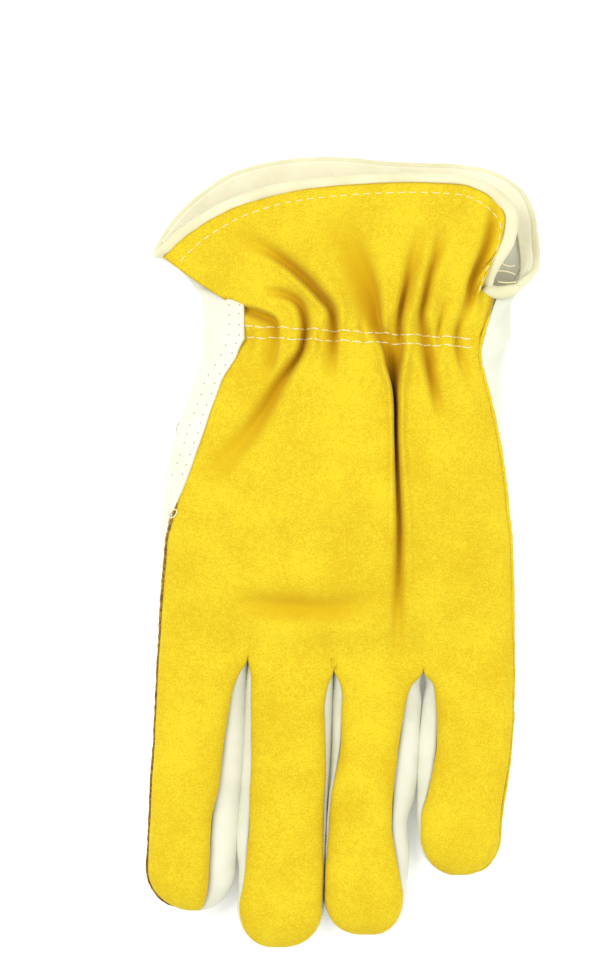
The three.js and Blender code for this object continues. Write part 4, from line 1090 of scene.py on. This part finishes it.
def closedCurve(rows, count):
    rows = np.array(rows, float)
    ring = np.vstack((rows[-2:], rows, rows[:3]))
    lengths = np.concatenate(([0], np.cumsum(np.linalg.norm(np.diff(ring[:, :3], axis=0), axis=1))))
    tangents = np.gradient(ring, lengths, axis=0)
    first, last = lengths[2], lengths[2 + len(rows)]
    at = np.linspace(first, last, count + 1)
    i = np.clip(np.searchsorted(lengths, at, side="right") - 1, 1, len(ring) - 3)
    span = (lengths[i + 1] - lengths[i])[:, None]
    return curveBetween(ring, tangents, i, (at - lengths[i])[:, None] / span, span)


def bandLine():
    rows = []
    for surface, total, shares, levelled in (
            (backOfCuff, 4, band["backShares"], True),
            (palmOfCuff, palmStart[4], band["palmShares"], False)):
        one = np.ones(len(shares))
        edge = surface(shares * total, one)
        along = (surface((shares + band["beside"]) * total, one)
                 - surface((shares - band["beside"]) * total, one))
        along /= np.linalg.norm(along, axis=1)[:, None]
        flaring = edge - surface(shares * total, band["within"] * one)
        if levelled:
            out = points(-along[:, 1], along[:, 0], 0)
        else:
            out = flaring - along * (flaring * along).sum(axis=1)[:, None]
        out /= np.linalg.norm(out, axis=1)[:, None]
        wide = 1 + band["wider"] * ease((shares - band["widerFrom"]) / band["widerReach"]) * levelled
        reachOut = band["gap"] - band["tuck"] + band["depth"] / 2 * wide
        centre = edge + out * reachOut[:, None]
        if levelled:
            centre[:, 2] -= band["sink"]
        rows.extend(np.hstack((centre, out, wide[:, None])))
        if levelled:
            rows.extend(band["corner"])
    return rows


def cuffBinding():
    line = closedCurve(bandLine(), band["stations"])
    centre, outward, wide = line[:, :3], line[:, 3:6], line[:, 6]
    tangent = np.gradient(centre, axis=0)
    tangent[0] = tangent[-1] = centre[1] - centre[-2]
    tangent /= np.linalg.norm(tangent, axis=1)[:, None]
    across = np.cross(tangent, outward)
    across /= np.linalg.norm(across, axis=1)[:, None]
    out = np.cross(across, tangent)

    def surface(c, r):
        i = np.rint(r * band["stations"]).astype(int)
        angle = c * 2 * math.pi
        return (centre[i] + out[i] * (np.cos(angle) * wide[i] * band["depth"] / 2)[:, None]
                + across[i] * (signedPower(np.sin(angle), band["square"]) * band["thick"] / 2)[:, None])

    bm = bmesh.new()
    patch(bm, surface, np.linspace(0, 1, band["sides"] + 1), np.linspace(0, 1, band["stations"] + 1))
    weld(bm, 0.01)
    bmesh.ops.recalc_face_normals(bm, faces=bm.faces)
    co, normal = arrays(bm)
    change = band["wrinkle"] * smoothNoise(co, band["wrinkleSize"], band["seed"])
    movePoints(bm, co + normal * change[:, None])
    return finishPiece(bm, "cuffBinding", bandLeather, ["cuff_binding"])


cuffBinding()

# The band's turned-in part, lying on the inner face of both rims, in a lighter copy of the band's leather as
# painted light
facing = {"columns": 260, "rows": 12, "out": 1.6, "wall": 0.7, "lowerFrom": 0.74, "lowerReach": 0.1,
          "palm": {"from": 0.085, "to": 0.95, "in": 6.5, "shift": (1.6, 1.6)},
          "back": {"from": 0.05, "to": 0.97, "in": 2.5, "shift": (-1.6, -3.4)}}


def bandFacing():
    bm = bmesh.new()
    for surface, rim, total, side in ((palmOfCuff, palmRim, palmStart[4], facing["palm"]),
                                      (backOfCuff, backRim, 4, facing["back"])):
        def strip(share, depth):
            rise = np.maximum(glove["cuffLength"] * read(rim, "y", share), 2 * side["in"])
            place = surface(share * total, 1 - depth / rise)
            place[:, 2] += lerp(*side["shift"], ease((share - facing["lowerFrom"]) / facing["lowerReach"]))
            return place
        patch(bm, strip, np.linspace(side["from"], side["to"], facing["columns"]),
              np.linspace(-facing["out"], side["in"], facing["rows"] + 1))
    weld(bm, 0.001)
    return finishPiece(bm, "bandFacing", lightenedFacingLeather, (), facing["wall"])


bandFacing()


# Thread work, laid on the finished surfaces
def surfaceTree(piece):
    bpy.context.view_layer.update()
    tree = BVHTree.FromObject(piece, bpy.context.evaluated_depsgraph_get())

    def drop(x, y):
        start = Vector(((x - glove["middle"][0]) * mm, (y - glove["middle"][1]) * mm, 0.1))
        hit, normal, _, _ = tree.ray_cast(start, Vector((0, 0, -1)))
        if hit is None:
            return None
        return np.array([x, y, hit.z / mm]), np.array(normal)
    return drop


# rows: height over the shirring, fall to the right, start; waves: height and pace
shirring = {"length": 3.9, "pitch": 4.4, "radius": 0.24, "rings": 9, "sink": 0.2, "lift": 0.12,
            "rows": ((3.3, 0.055, 0.0), (-0.4, 0.043, 0.5)), "from": -31.5, "to": 46.5,
            "waves": ((0.22, 0.55), (0.12, 1.3))}
hem = {"length": 2.8, "pitch": 3.8, "radius": 0.17, "rings": 7, "sink": 0.24, "lift": 0.05,
       "inset": 3.3, "from": 0.015, "to": 0.985, "start": 1.0}
uneven = {"length": (0.92, 1.08), "pitch": (0.97, 1.03)}


# A round strand along a path, as thick at each place as radius says.
def strand(bm, path, radius, sides=7):
    path = np.asarray(path, float)
    radius = np.broadcast_to(radius, len(path))
    tangent = np.gradient(path, axis=0)
    tangent /= np.linalg.norm(tangent, axis=1)[:, None]
    side = np.cross(tangent, np.array([0, 0, 1.0]))
    side /= np.linalg.norm(side, axis=1)[:, None]
    up = np.cross(side, tangent)

    def surface(c, r):
        i = np.rint(r).astype(int)
        turn = c * 2 * math.pi
        return (path[i] + side[i] * (np.cos(turn) * radius[i])[:, None]
                + up[i] * (np.sin(turn) * radius[i])[:, None])

    patch(bm, surface, np.linspace(0, 1, sides + 1), np.arange(len(path)))


# Stitches along a route over a finished surface, each dipping into it at both ends.
def stitchRow(bm, drop, route, shape, start):
    laid = np.array([spot[0] for spot in (drop(x, y) for x, y in route) if spot is not None])
    lengths = np.concatenate(([0], np.cumsum(np.linalg.norm(np.diff(laid, axis=0), axis=1))))
    at = start
    made = 0
    while at + shape["length"] < lengths[-1]:
        length = shape["length"] * random.uniform(*uneven["length"])
        places = np.linspace(at, at + length, shape["rings"] + 1)
        spots = np.stack([np.interp(places, lengths, laid[:, k]) for k in range(3)], axis=-1)
        rise = np.sin(np.linspace(0, math.pi, shape["rings"] + 1))
        spots[:, 2] += shape["lift"] * rise - shape["sink"] * (1 - rise) ** 2
        strand(bm, spots, shape["radius"] * (0.45 + 0.55 * rise ** 0.4))
        at += shape["pitch"] * random.uniform(*uneven["pitch"])
        made += 1
    return made


def threadWork():
    drop = surfaceTree(back)
    bm = bmesh.new()
    (broad, broadPace), (small, smallPace) = shirring["waves"]
    for height, fall, start in shirring["rows"]:
        x = np.linspace(shirring["from"], shirring["to"], 400)
        y = shirringLine + height - fall * (x - shirring["from"])
        y += broad * np.sin(x * broadPace + start) + small * np.sin(x * smallPace)
        print("shirring stitches", stitchRow(bm, drop, list(zip(x, y)), shirring, start))
    shares = np.linspace(hem["from"], hem["to"], 500)
    rise = glove["cuffLength"] * read(backRim, "y", shares)
    line = backOfCuff(shares * 4, 1 - hem["inset"] / np.maximum(rise, hem["inset"] * 2))
    print("hem stitches", stitchRow(bm, drop, line[:, :2], hem, hem["start"]))
    weld(bm, 0.001)
    bmesh.ops.recalc_face_normals(bm, faces=bm.faces)
    return finishPiece(bm, "threadRows", thread)


threadWork()

# Raw edges of the two outer seams: on the thumb side a dark tube, the raw edge's brown with painted seam
# shade; suede on the other
sideSeam = {"radius": 0.62, "below": 0.35, "out": 0.1, "last": 1.8, "steps": 120, "cuffSteps": 20,
            "wander": (0.12, 1.6, 50), "knobs": (0.3, 1.2, 60), "thinnest": 0.02}


def sideSeams():
    for name, f, s, outward in (("thumbSideSeam", 0, 0, -1), ("littleSideSeam", 3, 1, 1)):
        rows = np.linspace(0, sideSeam["last"], sideSeam["steps"])
        finger = fingerBack(f, rows, np.full(len(rows), float(s)))
        top = (lapping["from"] - rootLine) / palmLength if outward < 0 else 1
        up = np.linspace(top, 0, sideSeam["steps"])[:-1]
        parts = [backOfHand(np.full(len(up), 4.0 * s), up), finger]
        if outward > 0:
            steps = sideSeam["cuffSteps"]
            parts.insert(0, backOfCuff(np.full(steps, 4.0), np.linspace(1, 0.02, steps)))
        path = np.vstack(parts)
        path[:, 2] -= sideSeam["below"]
        wander, size, seed = sideSeam["wander"]
        path[:, 0] += outward * sideSeam["out"] + wander * smoothNoise(path, size, seed)
        bm = bmesh.new()
        taper = ease(np.linspace(0.2, 12, len(path))) * ease(np.linspace(16, 0.02, len(path)))
        knobs, size, seed = sideSeam["knobs"]
        thick = sideSeam["radius"] * taper * (1 + knobs * smoothNoise(path, size, seed))
        strand(bm, path, thick + sideSeam["thinnest"], 8)
        weld(bm, 0.001)
        bmesh.ops.recalc_face_normals(bm, faces=bm.faces)
        finishPiece(bm, name, rawEdgeAndSeamShade if outward < 0 else suede)


sideSeams()

# Needle holes in two rows along the lapped edge, and the loose loop of its thread. ends are the
# three loose threads in the pocket of the cuff, each with its start, bend and end.
holes = {"pitch": 3.3, "radius": 0.26, "rows": (1.6, 5.0), "from": 27, "to": 87, "sides": 8,
         "above": 0.03, "alongUneven": (-0.4, 0.4), "insetUneven": (-0.2, 0.2), "tone": (0.30, 0.28, 0.21)}
loop = {"at": (-55.0, 13.8), "radius": 1.25, "narrow": 0.8, "tall": 1.1, "slant": 0.55,
        "turn": (-0.9, 1.0), "tail": (-1.9, -3.4), "thick": 0.22, "height": 9.5, "lift": 0.2,
        "ends": (((52.6, 90.9, 15.4), (55.2, 90.2, 14.6), (58.9, 90.9, 12.4)),
                 ((52.4, 94.2, 16.2), (54.8, 94.9, 14.8), (58.6, 93.4, 11.8)),
                 ((53.6, 97.2, 16.6), (56.0, 95.4, 14.6), (58.4, 96.4, 10.8)))}


def needleHoles():
    drop = surfaceTree(palm)
    bm = bmesh.new()
    for inset in holes["rows"]:
        for y in np.arange(holes["from"], holes["to"], holes["pitch"]):
            y = y + random.uniform(*holes["alongUneven"])
            x = handAt(np.array([y]))["seamLeft"][0] - inset + random.uniform(*holes["insetUneven"])
            spot = drop(x, y)
            if spot is None:
                continue
            place, normal = spot
            disc = bmesh.ops.create_circle(bm, cap_ends=True, segments=holes["sides"],
                                           radius=holes["radius"])["verts"]
            turn = Vector((0, 0, 1)).rotation_difference(Vector(normal)).to_matrix()
            bmesh.ops.rotate(bm, verts=disc, matrix=turn)
            bmesh.ops.translate(bm, verts=disc, vec=Vector(place + normal * holes["above"]))
    # Each hole is a flat dark disc: painted shade inside the hole
    material, _ = plainMaterial("needleShade", holes["tone"])
    return finishPiece(bm, "needleHoles", material)


def looseThread():
    drops = surfaceTree(back), surfaceTree(palm)
    turn = np.linspace(*loop["turn"], 40) * math.pi
    x, y = loop["at"]
    ring = points(x + loop["radius"] * (np.cos(turn) * loop["narrow"] + np.sin(turn) * loop["slant"]),
                  y + loop["radius"] * loop["tall"] * np.sin(turn), 0)
    start = np.array((x + loop["tail"][0], y + loop["tail"][1], 0))
    path = np.vstack((np.linspace(start, ring[0], 14)[:-1], ring))
    for place in path:
        spots = [spot[0][2] for spot in (drop(*place[:2]) for drop in drops) if spot]
        place[2] = max(spots, default=loop["height"]) + loop["thick"]
    smooth = np.convolve(np.pad(path[:, 2], 4, mode="edge"), np.full(9, 1 / 9), mode="valid")
    path[:, 2] = smooth + loop["lift"]
    bm = bmesh.new()
    strand(bm, path, loop["thick"])
    for first, bend, last in np.array(loop["ends"]):
        t = np.linspace(0, 1, 24)[:, None]
        strand(bm, first * (1 - t) ** 2 + 2 * bend * t * (1 - t) + last * t ** 2, loop["thick"])
    weld(bm, 0.001)
    bmesh.ops.recalc_face_normals(bm, faces=bm.faces)
    return finishPiece(bm, "looseThread", thread)


needleHoles()
looseThread()

# Floor, light and camera
studio = {
    "floor": 3.0, "floorTone": (0.94, 0.94, 0.93), "floorGlow": 0.14,
    "world": 0.86, "worldTone": (1.0, 1.0, 0.985),
    "lights": {"key": (7.0, 0.6, (-0.65, 0.40, 0.95)), "fill": (5.4, 0.9, (0.75, -0.10, 0.90))},
    "lens": 100, "sensor": 24, "imageHeight": 325.67, "planeHeight": 10, "centre": (-15.0, 20.8),
}


def studioFloor():
    bm = bmesh.new()
    bmesh.ops.create_grid(bm, x_segments=2, y_segments=2, size=studio["floor"])
    mesh = bpy.data.meshes.new("floor")
    bm.to_mesh(mesh)
    bm.free()
    material, shader = plainMaterial("floorPaper", studio["floorTone"])
    shader.inputs["Emission Color"].default_value = (1, 1, 1, 1)
    shader.inputs["Emission Strength"].default_value = studio["floorGlow"]
    mesh.materials.append(material)
    floor = bpy.data.objects.new("floor", mesh)
    bpy.context.scene.collection.objects.link(floor)


def studioLight():
    world = bpy.data.worlds.new("studio")
    world.use_nodes = True
    background = world.node_tree.nodes["Background"]
    background.inputs[0].default_value = (*studio["worldTone"], 1)
    background.inputs[1].default_value = studio["world"]
    bpy.context.scene.world = world
    for name, (power, size, place) in studio["lights"].items():
        light = bpy.data.lights.new(name, "AREA")
        light.energy = power
        light.size = size
        lamp = bpy.data.objects.new(name, light)
        lamp.location = place
        lamp.rotation_euler = (-Vector(place)).to_track_quat("-Z", "Y").to_euler()
        bpy.context.scene.collection.objects.link(lamp)


# Straight down from far off, so that imageHeight millimetres at planeHeight fill the picture.
def studioCamera():
    data = bpy.data.cameras.new("camera")
    data.lens = studio["lens"]
    data.sensor_fit = "VERTICAL"
    data.sensor_height = studio["sensor"]
    data.clip_end = 20
    camera = bpy.data.objects.new("camera", data)
    distance = studio["lens"] * studio["imageHeight"] / studio["sensor"]
    camera.location = Vector((*studio["centre"], studio["planeHeight"] + distance)) * mm
    bpy.context.scene.collection.objects.link(camera)
    bpy.context.scene.camera = camera


studioFloor()
studioLight()
studioCamera()
bpy.context.scene.view_settings.view_transform = "Standard"
print("studio ready")
